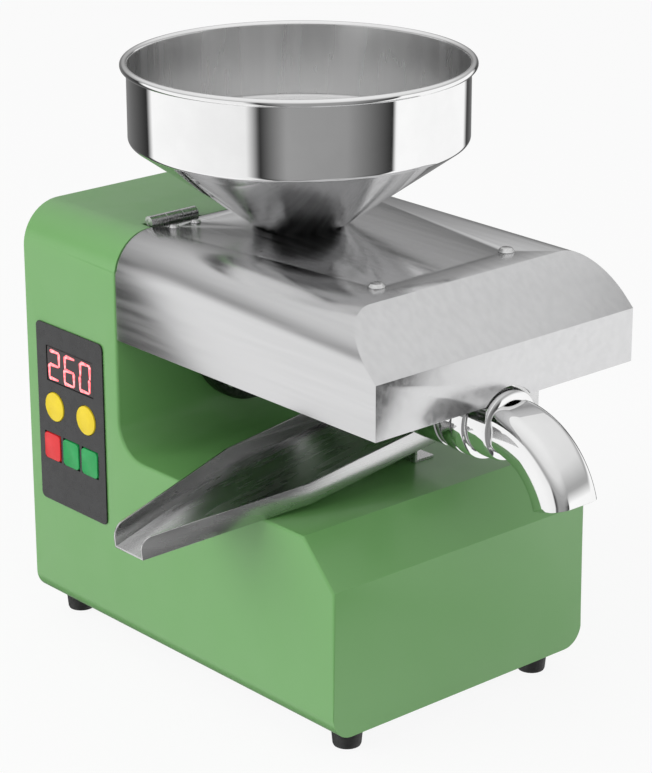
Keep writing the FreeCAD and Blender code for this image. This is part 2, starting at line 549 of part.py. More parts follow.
def hoodShell():
    outer = hoodSolid("hood", "0")
    holes = circle(sketchOn(outer, "XY_Plane", "hoodHoles", "columnHigh + 1"), "hopperX", "0",
                   "neckRadius + neckGap")
    for side in ("-", ""):
        circle(holes, "hoodScrewX", side + "hoodScrewY", "screwRadius + pinPlay")
        for along in (" - ", " + "):
            circle(holes, "hingeScrewX", side + "hingeY" + along + "hingeScrewSpan / 2",
                   "smallScrewRadius + pinPlay")
    grow(outer, "Pocket", holes, "hoodHoleCut", "hoodSheet + 2")
    arc = circle(sketchOn(outer, "YZ_Plane", "hoodNotch", "hoodReach + 1"), "0", "screwZ",
                 "spoutCollar + collarGap")
    grow(outer, "Pocket", arc, "hoodNotchCut", "hoodSheet + 2")
    shell = cut("hoodShell", outer, hoodSolid("hoodInside", "hoodSheet"))
    doc.recompute()
    assert shell.Shape.Volume < outer.Shape.Volume
    keep(shell, "hood_shell")

    # Folded strip under the hood's top that takes its two front screws.
    body = newBody("strip")
    fold = outline(sketchOn(body, "XZ_Plane", "stripFold"), [
        ("hoodScrewX - stripWide / 2", hoodTopInside + " - stripThick"),
        ("hoodScrewX + stripWide / 2 - stripThick", hoodTopInside + " - stripThick"),
        ("hoodScrewX + stripWide / 2 - stripThick", hoodTopInside + " - stripLip"),
        ("hoodScrewX + stripWide / 2", hoodTopInside + " - stripLip"),
        ("hoodScrewX + stripWide / 2", hoodTopInside), ("hoodScrewX - stripWide / 2", hoodTopInside)])
    strip = grow(body, "Pad", fold, "stripPad", "stripLong", midplane=True)
    holes = sketchOn(body, "XY_Plane", "stripHoles", "columnHigh")
    for side in ("-", ""):
        circle(holes, "hoodScrewX", side + "hoodScrewY", "screwRadius + pinPlay")
    grow(body, "Pocket", holes, "stripHoleCut", "hoodSheet + stripThick + 1")
    doc.recompute()
    assert body.Shape.Volume < strip.Shape.Volume
    keep(body, "hood_strip")

    screws = []
    for side in ("-", ""):
        head = doc.addObject("Part::Cone", "hoodScrewHead")
        bind(head, Radius1="screwHeadRadius", Radius2="screwHeadRadius * 0.7", Height="screwHeadHigh",
             Placement_Base_x="hoodScrewX", Placement_Base_y=side + "hoodScrewY",
             Placement_Base_z="columnHigh")
        shank = rod("hoodScrewShank", "Z", "hoodScrewX", side + "hoodScrewY",
                    hoodTopInside + " - stripThick - 3", "screwRadius", "hoodSheet + stripThick + 3.5")
        screws.append(fuse("hoodScrew", [head, shank]))
    keep(group("hoodScrews", screws), "hood_screws")


def hinges():
    leafTop = hoodTopInside
    third = "(hingeLong / 3)"
    small = []
    for side, word in (("-", "near"), ("", "far")):
        middle = "(%shingeY)" % side
        start = "(%s - hingeLong / 2)" % middle
        # Leaf that turns with the hood: it lies under the hood's top sheet and carries the outer knuckles.
        leaf = box("hoodLeafPlate", "hingeX", start, leafTop + " - hingeLeafThick",
                   "hoodLeafReach - hingeX",
                   "hingeLong", "hingeLeafThick")
        barrel = rod("hoodKnuckle", "Y", "hingeX", start, "hingeZ", "knuckleRadius", "hingeLong")
        room = box("hoodKnuckleGap", "hingeX - knuckleRadius - 1", "%s - %s / 2 - fitGap / 2" % (middle,
                third),
                   "hingeZ - knuckleRadius - 2", "2 * knuckleRadius + 1 + fitGap", third + " + fitGap",
                   "2 * knuckleRadius + 3")
        bore = rod("hoodKnuckleBore", "Y", "hingeX", start + " - 1", "hingeZ", "pinRadius + pinPlay",
                   "hingeLong + 2")
        holes = [rod("leafHole", "Z", "hingeScrewX", middle + along + "hingeScrewSpan / 2",
                     leafTop + " - hingeLeafThick - 1", "smallScrewRadius + pinPlay", "hingeLeafThick + 2")
                 for along in (" - ", " + ")]
        keep(cut("hoodLeaf", fuse("hoodLeafBody", [leaf, barrel]), fuse("hoodLeafCuts", [room,
                bore] + holes)),
             "hinge_leaf_hood_" + word)
        # Leaf that stays on the column: behind its front sheet, with the middle knuckle.
        tall = box("fixedLeafPlate", "-shellWall - hingeLeafThick", start, "columnHigh - fixedLeafDrop",
                   "hingeLeafThick", "hingeLong", "fixedLeafDrop - notchDeep - 0.5")
        tongue = box("fixedLeafTongue", "-shellWall - hingeLeafThick", "%s - %s / 2 + fitGap / 2" % (middle,
                third),
                     "columnHigh - fixedLeafDrop", "hingeLeafThick", third + " - fitGap",
                     "hingeZ - columnHigh + fixedLeafDrop")
        ring = rod("fixedKnuckle", "Y", "hingeX", "%s - %s / 2 + fitGap / 2" % (middle, third), "hingeZ",
                   "knuckleRadius", third + " - fitGap")
        hole = rod("fixedBore", "Y", "hingeX", start, "hingeZ", "pinRadius + pinPlay", "hingeLong")
        keep(cut("fixedLeaf", fuse("fixedLeafBody", [tall, tongue, ring]), hole),
             "hinge_leaf_column_" + word)
        keep(rod("hingePin", "Y", "hingeX", start, "hingeZ", "pinRadius", "hingeLong"), "hinge_pin_" + word,
             shifted=False)
        bind(parts[-1], Placement_Base_x="hingeX + " + shiftX, Placement_Base_y=start + " + " + shiftY)
        for along in (" - ", " + "):
            row = middle + along + "hingeScrewSpan / 2"
            head = doc.addObject("Part::Cone", "hingeScrewHead")
            bind(head, Radius1="smallHeadRadius", Radius2="smallHeadRadius * 0.7", Height="smallHeadHigh",
                 Placement_Base_x="hingeScrewX", Placement_Base_y=row, Placement_Base_z="columnHigh")
            shank = rod("hingeScrewShank", "Z", "hingeScrewX", row, leafTop + " - hingeLeafThick - 1.5",
                        "smallScrewRadius", "hoodSheet + hingeLeafThick + 2")
            small.append(fuse("hingeScrew", [head, shank]))
    keep(group("hingeScrews", small), "hinge_screws")


def hopper():
    body = newBody("hopper")
    lean = "((bowlLow - columnHigh) / (bowlRadius - coneFootRadius))"
    inside = "(columnHigh + (%s - coneFootRadius) * " + lean + " + bowlSheet * sqrt(1 + " + lean + "^2))"
    bowlIn, neckIn = "(bowlRadius - bowlSheet)", "(neckRadius - bowlSheet)"
    half = outline(sketchOn(body, "XZ_Plane", "hopperHalf"), [
        (neckIn, "columnHigh - neckDrop"), ("neckRadius", "columnHigh - neckDrop"),
        ("neckRadius", "columnHigh"), ("coneFootRadius", "columnHigh"), ("bowlRadius", "bowlLow"),
        ("bowlRadius", "bowlHigh"), (bowlIn, "bowlHigh"), (bowlIn, inside % bowlIn),
        ("coneFootRadius", inside % "coneFootRadius"), (neckIn, inside % "coneFootRadius")])
    wall = turn(body, "Revolution", half, "hopperWall", "Z_Axis")
    radius, sheetThick = size("bowlRadius"), size("bowlSheet")
    low = size("bowlLow")
    outer = roundOff(body, wall, "bowlOuterRounding", "bowlRound", lambda edge: near(edge.BoundBox.XMax,
            radius)
                     and near(edge.CenterOfMass.z, low) and edge.Curve.TypeId == "Part::GeomCircle")
    roundOff(body, outer, "bowlInnerRounding", "bowlRound - bowlSheet", lambda edge: (
        edge.Curve.TypeId == "Part::GeomCircle" and near(edge.Curve.Radius, radius - sheetThick)
        and abs(edge.CenterOfMass.z - low) < 2 * sheetThick))
    bead = circle(sketchOn(body, "XZ_Plane", "beadRing"), "bowlRadius - bowlSheet + beadRadius", "bowlHigh",
                  "beadRadius")
    turn(body, "Revolution", bead, "rimBead", "Z_Axis")
    bind(body, Placement_Base_x="hopperX + " + shiftX, Placement_Base_y=shiftY)
    keep(body, "hopper", shifted=False)


# ---- press head: everything here is turned about the screw's axis, so each body sits at screwZ
def onAxis(body, label, height="screwZ"):
    bind(body, Placement_Base_z=height)
    return keep(body, label)


def outputFlange():
    body = newBody("flange")
    disc = outline(sketchOn(body, "XZ_Plane", "flangeHalf"), [
        ("0", "outputShaft + fitGap"), ("0", "flangeRadius - flangeRelief"), ("flangeBevel",
                "flangeRadius"),
        ("flangeThick - flangeBevel", "flangeRadius"), ("flangeThick", "flangeRadius - flangeBevel"),
        ("flangeThick", "barrelRadius + pinPlay"),
        ("flangeThick / 2", "barrelRadius + pinPlay"), ("flangeThick / 2", "outputShaft + fitGap")])
    turned = turn(body, "Revolution", disc, "flangeTurned")
    reach = "flangeBoltCircle * sqrt(0.5)"
    hole = circle(sketchOn(body, "YZ_Plane", "flangeHole", "flangeThick + 1"), reach, reach,
                  "flangeBoltRadius + pinPlay")
    drilled = grow(body, "Pocket", hole, "flangeHoleCut", "flangeThick + 2")
    aroundX(body, drilled, "flangeHoles", 4)
    onAxis(body, "output_flange")
    doc.recompute()
    assert body.Shape.Volume < drilled.Shape.Volume < turned.Shape.Volume

    bolts = []
    for y in ("-" + reach, reach):
        for z in ("screwZ - " + reach, "screwZ + " + reach):
            head = rod("boltHead", "X", "flangeThick", y, z, "boltHeadRadius", "boltHeadHigh")
            shank = rod("boltShank", "X", "-shellWall - caseWall + 0.5", y, z, "flangeBoltRadius",
                        "flangeThick + shellWall + caseWall")
            bolts.append(fuse("flangeBolt", [head, shank]))
    keep(group("flangeBolts", bolts), "flange_bolts")


def pressBarrel():
    body = newBody("barrel")
    rim = outline(sketchOn(body, "XZ_Plane", "barrelHalf"), [
        ("flangeThick / 2", "0"), ("barrelEnd", "0"), ("barrelEnd", "barrelRadius - barrelBevel"),
        ("barrelEnd - barrelBevel", "barrelRadius"), ("flangeThick / 2", "barrelRadius")])
    turn(body, "Revolution", rim, "barrelSolid")
    mouth = circle(sketchOn(body, "XY_Plane", "throatRing"), "hopperX", "0", "throatRadius")
    solid = grow(body, "Pad", mouth, "throatSolid", "throatTop - screwZ")
    bore = outline(sketchOn(body, "XZ_Plane", "barrelBoreHalf"), [
        ("0", "0"), ("barrelEnd + 1", "0"), ("barrelEnd + 1", "barrelBore"), ("0", "barrelBore")])
    bored = turn(body, "Groove", bore, "barrelBored")
    well = circle(sketchOn(body, "XY_Plane", "throatWell", "throatTop - screwZ + 1"), "hopperX", "0",
                  "throatBore")
    opened = grow(body, "Pocket", well, "throatBored", "throatTop - screwZ + 1")
    wellTop, wellRadius = size("throatTop") - size("screwZ"), size("throatBore")
    flare = body.newObject("PartDesign::Chamfer", "throatFlaring")
    flare.Base = (opened, edges(opened, lambda edge: near(edge.CenterOfMass.z, wellTop)
                                and edge.Curve.TypeId == "Part::GeomCircle"
                                and near(edge.Curve.Radius, wellRadius)))
    bind(flare, Size="throatFlare")
    slot = rectangle(sketchOn(body, "XY_Plane", "oilSlot", "-barrelRadius - 1"), "slotFirst", "0",
                     "slotWide",
                     "2 * barrelRadius + 2")
    sawn = grow(body, "Pocket", slot, "oilSlotCut", "slotDeep + 1", back=True)
    slots = copies(body, sawn, "oilSlots", "X_Axis", "slotPitch", 10)
    doc.recompute()
    assert slots.Shape.Volume < sawn.Shape.Volume < opened.Shape.Volume
    assert opened.Shape.Volume < bored.Shape.Volume < solid.Shape.Volume
    onAxis(body, "press_barrel")


def heater():
    body = newBody("heater")
    band = outline(sketchOn(body, "XZ_Plane", "heaterHalf"), [
        ("heaterStart", "barrelRadius + pinPlay"), ("heaterEnd", "barrelRadius + pinPlay"),
        ("heaterEnd", "heaterRadius - bandBevel"), ("heaterEnd - bandBevel", "heaterRadius"),
        ("heaterStart + bandBevel", "heaterRadius"), ("heaterStart", "heaterRadius - bandBevel")])
    turn(body, "Revolution", band, "heaterBand")
    split = rectangle(sketchOn(body, "XY_Plane", "heaterSplit", "heaterRadius + 1"),
                      "(heaterStart + heaterEnd) / 2",
                      "0", "heaterEnd - heaterStart + 2", "bandSplit")
    grow(body, "Pocket", split, "heaterSplitCut", "heaterRadius - barrelRadius + 1.5")
    onAxis(body, "heater_band")
    sensor = [rod("sensorTube", "Z", "sensorX", "sensorRadius + 3", "screwZ + heaterRadius", "sensorRadius",
                  "sensorHigh"),
              rod("sensorNut", "Z", "sensorX", "sensorRadius + 3", "screwZ + heaterRadius",
                  "sensorRadius * 1.6",
                  "sensorHigh / 3")]
    keep(fuse("sensor", sensor), "temperature_sensor")

    # Plate clamped on the barrel's end that stops the hood and the spout on the far side.
    body = newBody("bracket")
    ring = circle(sketchOn(body, "YZ_Plane", "bracketRing", "bracketX"), "0", "0", "bracketRing")
    grow(body, "Pad", ring, "bracketDisc", "bracketThick")
    arm = outline(sketchOn(body, "YZ_Plane", "bracketArm", "bracketX"), [
        ("0", "bracketLow - screwZ"), ("bracketReach", "bracketLow - screwZ"),
        ("bracketReach", "bracketHigh - screwZ"), ("0", "bracketHigh - screwZ")])
    plate = grow(body, "Pad", arm, "bracketPlate", "bracketThick")
    hole = circle(sketchOn(body, "YZ_Plane", "bracketHole", "bracketX - 1"), "0", "0",
                  "barrelRadius + pinPlay")
    grow(body, "Pocket", hole, "bracketHoleCut", "bracketThick + 2", back=True)
    doc.recompute()
    assert body.Shape.Volume < plate.Shape.Volume
    onAxis(body, "end_bracket")


def ringNut():
    body = newBody("nut")
    middle = "(nutStart + nutEnd) / 2"
    half = outline(sketchOn(body, "XZ_Plane", "nutHalf"), [
        ("nutStart", "barrelRadius + pinPlay"), ("nutStart", "nutRadius - nutBevel"),
        ("nutStart + nutBevel", "nutRadius"),
        (middle + " - nutGrooveWide / 2", "nutRadius"), (middle, "nutRadius - nutGrooveDeep"),
        (middle + " + nutGrooveWide / 2", "nutRadius"), ("nutEnd - nutBevel", "nutRadius"), ("nutEnd",
                "nutRadius - nutBevel"),
        ("nutEnd", "nutLip"), ("barrelEnd + chokeLong", "nutLip"),
        ("barrelEnd + chokeLong", "barrelRadius + pinPlay")])
    turned = turn(body, "Revolution", half, "nutTurned")
    notch = rectangle(sketchOn(body, "XY_Plane", "nutNotch", "nutRadius + 1"), "nutEnd", "0",
                      "nutNotchLong * 2",
                      "nutNotchWide")
    sawn = grow(body, "Pocket", notch, "nutNotchCut", "nutNotchDeep + 1")
    aroundX(body, sawn, "nutNotches", 6)
    doc.recompute()
    assert body.Shape.Volume < sawn.Shape.Volume < turned.Shape.Volume
    onAxis(body, "ring_nut")
    body = newBody("choke")
    half = outline(sketchOn(body, "XZ_Plane", "chokeHalf"), [
        ("barrelEnd", "chokeBore"), ("barrelEnd", "barrelRadius"), ("barrelEnd + chokeLong",
                "barrelRadius"),
        ("barrelEnd + chokeLong", "nutLip - 1"), ("barrelEnd + chokeLong / 2", "chokeBore")])
    turn(body, "Revolution", half, "chokeTurned")
    onAxis(body, "choke_ring")


def worm():
    body = newBody("worm")
    core = outline(sketchOn(body, "XZ_Plane", "wormHalf"), [
        ("wormStart - 4", "0"), ("wormStart - 4", "wormRadius"), ("wormStart", "wormRadius"),
        ("wormStart", "wormRootStart"), ("wormEnd", "wormRootEnd"), ("wormEnd + coneLong", "coneEndRadius"),
        ("wormEnd + coneLong", "0")])
    turn(body, "Revolution", core, "wormCore")
    hexagon = outline(sketchOn(body, "YZ_Plane", "wormTail", "wormStart - 3"), [
        ("tailRadius * cos(%d)" % turned, "tailRadius * sin(%d)" % turned) for turned in range(0, 360, 60)])
    grow(body, "Pad", hexagon, "wormTailPad", "tailLong", back=True)
    thread = outline(sketchOn(body, "XZ_Plane", "wormThread"), [
        ("wormStart + 1", "wormRootStart - 2"), ("wormStart + 1 + wormFoot", "wormRootStart - 2"),
        ("wormStart + 1 + (wormFoot + wormCrest) / 2", "wormRadius"),
        ("wormStart + 1 + (wormFoot - wormCrest) / 2", "wormRadius")])
    doc.recompute()
    flight = body.newObject("PartDesign::AdditiveHelix", "wormFlight")
    flight.Profile = thread
    flight.ReferenceAxis = (originPart(body, "X_Axis"), [""])
    flight.Mode = "pitch-height-angle"
    bind(flight, Pitch="wormPitch", Height="wormEnd - wormStart - wormFoot - 2")
    onAxis(body, "press_worm")

    body = newBody("drive")
    half = outline(sketchOn(body, "XZ_Plane", "driveHalf"), [
        ("-shellWall - caseLong - caseWall", "0"), ("-shellWall - caseLong - caseWall", "outputShaft"),
        ("flangeThick - 1", "outputShaft"), ("flangeThick - 1", "0")])
    turn(body, "Revolution", half, "driveShaft")
    socket = outline(sketchOn(body, "YZ_Plane", "driveSocket", "flangeThick"), [
        ("(tailRadius + pinPlay) * cos(%d)" % turned, "(tailRadius + pinPlay) * sin(%d)" % turned)
        for turned in range(0, 360, 60)])
    grow(body, "Pocket", socket, "driveSocketCut", "flangeThick + tailLong - wormStart + 6")
    onAxis(body, "output_shaft")


# ---- cake spout: a collar that plugs into the ring nut and a bent tube of rounded section
def bentTube(name, wide, deep, rounding, angle):
    body = newBody(name)
    section = rectangle(sketchOn(body, "YZ_Plane", "tubeSection"), "0", "spoutBend", wide, deep)
    bend = turn(body, "Revolution", section, "tubeBend", "Y_Axis")
    bind(bend, Angle=angle)
    roundOff(body, bend, "tubeRounding", rounding, lambda edge: edge.Curve.TypeId == "Part::GeomCircle")
    return body


def cakeSpout():
    outer = bentTube("spout", "spoutWide", "spoutDeep", "spoutRound", "spoutTurn")
    collar = circle(sketchOn(outer, "YZ_Plane", "collarRing", "nutEnd + seatGap - spoutBendX"), "0",
                    "spoutBend",
                    "spoutCollar")
    grow(outer, "Pad", collar, "collarSolid", "collarEnd - nutEnd - seatGap")
    spigot = circle(sketchOn(outer, "YZ_Plane", "spigotRing", "nutEnd - spigotLong - spoutBendX"), "0",
                    "spoutBend",
                    "nutLip - fitGap")
    grow(outer, "Pad", spigot, "spigotSolid", "spigotLong + 1")
    inner = bentTube("passage", "spoutWide - 2 * spoutWall", "spoutDeep - 2 * spoutWall",
                     "spoutRound - spoutWall",
                     "spoutTurn + 3")
    bore = circle(sketchOn(inner, "YZ_Plane", "collarBore", "nutEnd - spigotLong - spoutBendX - 1"), "0",
                  "spoutBend", "nutLip - fitGap - collarWall")
    grow(inner, "Pad", bore, "collarBored", "spoutBendX - nutEnd + spigotLong + 1.5")
    spout = cut("spoutShell", outer, inner)
    bind(spout, Placement_Base_x="spoutBendX + " + shiftX, Placement_Base_y=shiftY,
         Placement_Base_z="screwZ - spoutBend")
    keep(spout, "cake_spout", shifted=False)


# ---- oil tray: folded sheet, wide under the barrel and narrow at its lip, lying on a slope
def oilTray():
    body = newBody("tray")
    plan = outline(sketchOn(body, "XY_Plane", "trayPlan"), [
        ("-trayHalf", "trayRear"), ("-trayHalf", "-trayTaper"), ("-trayMouth", "-trayTip"),
        ("trayMouth", "-trayTip"), ("trayHalf", "-trayTaper"), ("trayHalf", "trayRear")])
    block = grow(body, "Pad", plan, "trayBlock", "trayWallHigh")
    tip, high = size("trayTip"), size("trayWallHigh")
    lip = roundOff(body, block, "trayLipRounding", "trayTipRound", lambda edge: runs(edge, (1, 0, 0))
                   and near(edge.CenterOfMass.y, -tip) and near(edge.CenterOfMass.z, high))
    inside = outline(sketchOn(body, "XY_Plane", "trayInside", "trayWallHigh + 1"), [
        ("-trayHalf + traySheet", "trayRear - traySheet"), ("-trayHalf + traySheet", "-trayTaper"),
        ("-trayMouth + traySheet", "-trayTip"), ("-trayMouth + traySheet", "-trayTip - 2"),
        ("trayMouth - traySheet", "-trayTip - 2"), ("trayMouth - traySheet", "-trayTip"),
        ("trayHalf - traySheet", "-trayTaper"), ("trayHalf - traySheet", "trayRear - traySheet")])
    folded = grow(body, "Pocket", inside, "trayFolded", "trayWallHigh - traySheet + 1")
    body.Placement = FreeCAD.Placement(FreeCAD.Vector(), FreeCAD.Rotation(FreeCAD.Vector(1, 0, 0), 0))
    bind(body, Placement_Rotation_Angle="trayTilt")
    bind(body, Placement_Base_x="trayX + " + shiftX, Placement_Base_y=shiftY,
         Placement_Base_z="baseHigh + trayLift + housingWide / 2 * tan(trayTilt)")
    doc.recompute()
    assert folded.Shape.Volume < lip.Shape.Volume < block.Shape.Volume
    keep(body, "oil_tray", shifted=False)

    # Folded rest on the base that holds the tray's back end at its slope.
    body = newBody("rest")
    under = "(housingWide / 2 * tan(trayTilt) + (%s) * tan(trayTilt))"
    front, back = "restY", "restY + restDeep"
    fold = outline(sketchOn(body, "YZ_Plane", "restFold"), [
        (back, "0"), (back, "restSheet"), (front + " + restSheet", "restSheet"),
        (front + " + restSheet", under % (front + " + restSheet") + " - restSheet"),
        (back, under % back + " - restSheet"), (back, under % back), (front, under % front), (front, "0")])
    grow(body, "Pad", fold, "restPad", "restWide", midplane=True)
    bind(body, Placement_Base_x="trayX + " + shiftX, Placement_Base_y=shiftY, Placement_Base_z="baseHigh")
    keep(body, "tray_rest", shifted=False)


# ---- gearbox: three spur stages between the motor and the screw
def gearBlank(body, teeth, module, face):
    blank = circle(sketchOn(body, "YZ_Plane", "gearBlank"), "0", "0", "%s * (%s / 2 + toothTop)" % (module,
            teeth))
    grow(body, "Pad", blank, "gearBlankPad", face)


def cutTeeth(body, teeth, module, face):
    # One involute tooth space, copied round the blank.
    base = "(%s / 2 * cos(pressureAngle))" % teeth
    corners = []
    for radius, flank in (("- toothRoot", "- 0.5"), ("- 0.5", "- 0.5"), ("+ 0", "+ 0"), ("+ toothTop / 2",
            "+ toothTop / 2"),
                          ("+ toothTop", "+ toothTop"), ("+ toothTop + 1", "+ toothTop")):
        slant = "acos(%s / (%s / 2 %s))" % (base, teeth, flank)
        half = ("(180 deg / %s - 90 deg * toothFill / %s + pressureAngle * 1 deg - %s"
                " - 1 deg * 180 / pi * (tan(pressureAngle) - tan(%s)))" % (teeth, teeth, slant, slant))
        corners.append(("%s * (%s / 2 %s) * cos(%s)" % (module, teeth, radius, half),
                        "%s * (%s / 2 %s) * sin(%s)" % (module, teeth, radius, half)))
    space = sketchOn(body, "YZ_Plane", "toothSpace", "-1")
    outline(space, corners + [(x, "-(%s)" % y) for x, y in reversed(corners)])
    gap = grow(body, "Pocket", space, "toothSpaceCut", "(%s) + 2" % face, back=True)
    ring = aroundX(body, gap, "teeth", 12)
    bind(ring, Occurrences=teeth)
    return ring


def place(body, label, x, y, z, clock):
    body.Placement = FreeCAD.Placement(FreeCAD.Vector(), FreeCAD.Rotation(FreeCAD.Vector(1, 0, 0), 1))
    bind(body, Placement_Base_x=x + " + " + shiftX, Placement_Base_y=y + " + " + shiftY, Placement_Base_z=z)
    bind(body, Placement_Rotation_Angle=clock)
    keep(body, label, shifted=False)


def gearTrain():
    towardA = "atan2(idlerAZ - motorZ; idlerAY)"
    towardB = "atan2(idlerBZ - idlerAZ; idlerOffset - idlerAY)"
    towardScrew = "atan2(screwZ - idlerBZ; -idlerOffset)"
    halfPitch = " + 180 deg / pinionTeeth"
    bores = {"motor_pinion": ("motorShaft + shaftPlay", "0", "motorZ", towardA + halfPitch, "pinionTeeth",
                              "motorModule", "firstFace", "firstStageX"),
             "idler_gear_a": ("idlerShaft + shaftPlay", "idlerAY", "idlerAZ", towardA + " + 180 deg",
                              "firstTeeth",
                              "motorModule", "firstFace", "firstStageX"),
             "idler_gear_b": ("idlerShaft + shaftPlay", "idlerOffset", "idlerBZ", towardB + " + 180 deg",
                              "secondTeeth", "middleModule", "secondFace", "secondStageX"),
             "output_gear": ("outputShaft + shaftPlay", "0", "screwZ", towardScrew + " + 180 deg",
                             "outputTeeth",
                             "outputModule", "outputFace", "outputStageX")}
    for label, (bore, y, z, clock, teeth, module, face, start) in bores.items():
        body = newBody("gear")
        gearBlank(body, teeth, module, face)
        if label != "motor_pinion":
            # Recessed web between the hub and the rim, on the side away from the pinion beside it.
            web = sketchOn(body, "YZ_Plane", "gearWeb", "(%s) + 1" % face)
            circle(web, "0", "0", "%s * (%s / 2 - 4)" % (module, teeth))
            circle(web, "0", "0", "(%s) * 1.6" % bore)
            grow(body, "Pocket", web, "gearWebCut", "(%s) * 0.3 + 1" % face)
        hole = circle(sketchOn(body, "YZ_Plane", "gearBore", "-1"), "0", "0", bore)
        grow(body, "Pocket", hole, "gearBored", "(%s) + 2" % face, back=True)
        cutTeeth(body, teeth, module, face)
        place(body, label, start, y, z, clock)
    # Each idler shaft is cut in one piece with the pinion that drives the next gear.
    shaftEnd = "(-shellWall - caseLong - caseWall + 0.5)"
    for label, y, z, clock, module, face, start in (
            ("idler_shaft_a", "idlerAY", "idlerAZ", towardB + halfPitch, "middleModule", "secondFace",
             "secondStageX"),
            ("idler_shaft_b", "idlerOffset", "idlerBZ", towardScrew + halfPitch, "outputModule",
             "outputFace",
             "outputStageX")):
        body = newBody("pinionShaft")
        gearBlank(body, "pinionTeeth", module, face)
        core = circle(sketchOn(body, "YZ_Plane", "shaftRing", "%s - %s" % (shaftEnd, start)), "0", "0",
                      "idlerShaft")
        grow(body, "Pad", core, "shaftPad", "caseLong + caseWall - 1")
        cutTeeth(body, "pinionTeeth", module, face)
        place(body, label, start, y, z, clock)


def gearCase():
    bend = [("-caseHalf", "caseLow"), ("caseFoot", "caseLow"), ("caseFoot", "caseStep"), ("caseHalf",
            "caseStep"),
            ("caseHalf", "caseHigh"), ("-caseHalf", "caseHigh")]
    shaftHoles = (("0", "motorZ", "motorShaft + shaftRoom"), ("idlerAY", "idlerAZ",
            "idlerShaft + shaftPlay"),
                  ("idlerOffset", "idlerBZ", "idlerShaft + shaftPlay"), ("0", "screwZ",
                          "bearingRadius + shaftPlay"))

    def blank(name, offset, long, back):
        body = newBody(name)
        block = grow(body, "Pad", outline(sketchOn(body, "YZ_Plane", name + "Side", offset), bend),
                     name + "Block",
                     long, back=back)
        rounded = roundOff(body, block, name + "Rounding", "caseRound", lambda edge: runs(edge, (1, 0, 0)))
        return body, rounded

    body, rounded = blank("caseCover", "-shellWall", "caseWall", True)
    holes = sketchOn(body, "YZ_Plane", "coverHoles", "0")
    for y, z, radius in shaftHoles:
        circle(holes, y, z, radius)
    reach = "flangeBoltCircle * sqrt(0.5)"
    for side in ("-", ""):
        for rise in ("- ", "+ "):
            circle(holes, side + reach, "screwZ " + rise + reach, "flangeBoltRadius + shaftPlay")
    grow(body, "Pocket", holes, "coverHoleCut", "shellWall + caseWall + 1")
    doc.recompute()
    assert body.Shape.Volume < rounded.Shape.Volume
    keep(body, "gearbox_cover")

    body, rounded = blank("caseTub", "-shellWall - caseWall", "caseLong", True)
    front = -size("shellWall") - size("caseWall")
    shellOut(body, rounded, "tubHollow", "caseWall", lambda face: near(face.CenterOfMass.x, front))
    holes = sketchOn(body, "YZ_Plane", "tubHoles", "-shellWall - caseLong + 1")
    for y, z, radius in shaftHoles[1:3]:
        circle(holes, y, z, radius)
    circle(holes, "0", "screwZ", "outputShaft + shaftPlay")
    grow(body, "Pocket", holes, "tubHoleCut", "caseWall + 2")
    keep(body, "gearbox_tub")

    body = newBody("bearing")
    half = outline(sketchOn(body, "XZ_Plane", "bearingHalf"), [
        ("-shellWall - caseWall", "outputShaft + shaftPlay"), ("-shellWall", "outputShaft + shaftPlay"),
        ("-shellWall", "bearingRadius"), ("-shellWall - caseWall", "bearingRadius")])
    turn(body, "Revolution", half, "bearingTurned")
    bind(body, Placement_Base_z="screwZ")
    keep(body, "output_bearing")


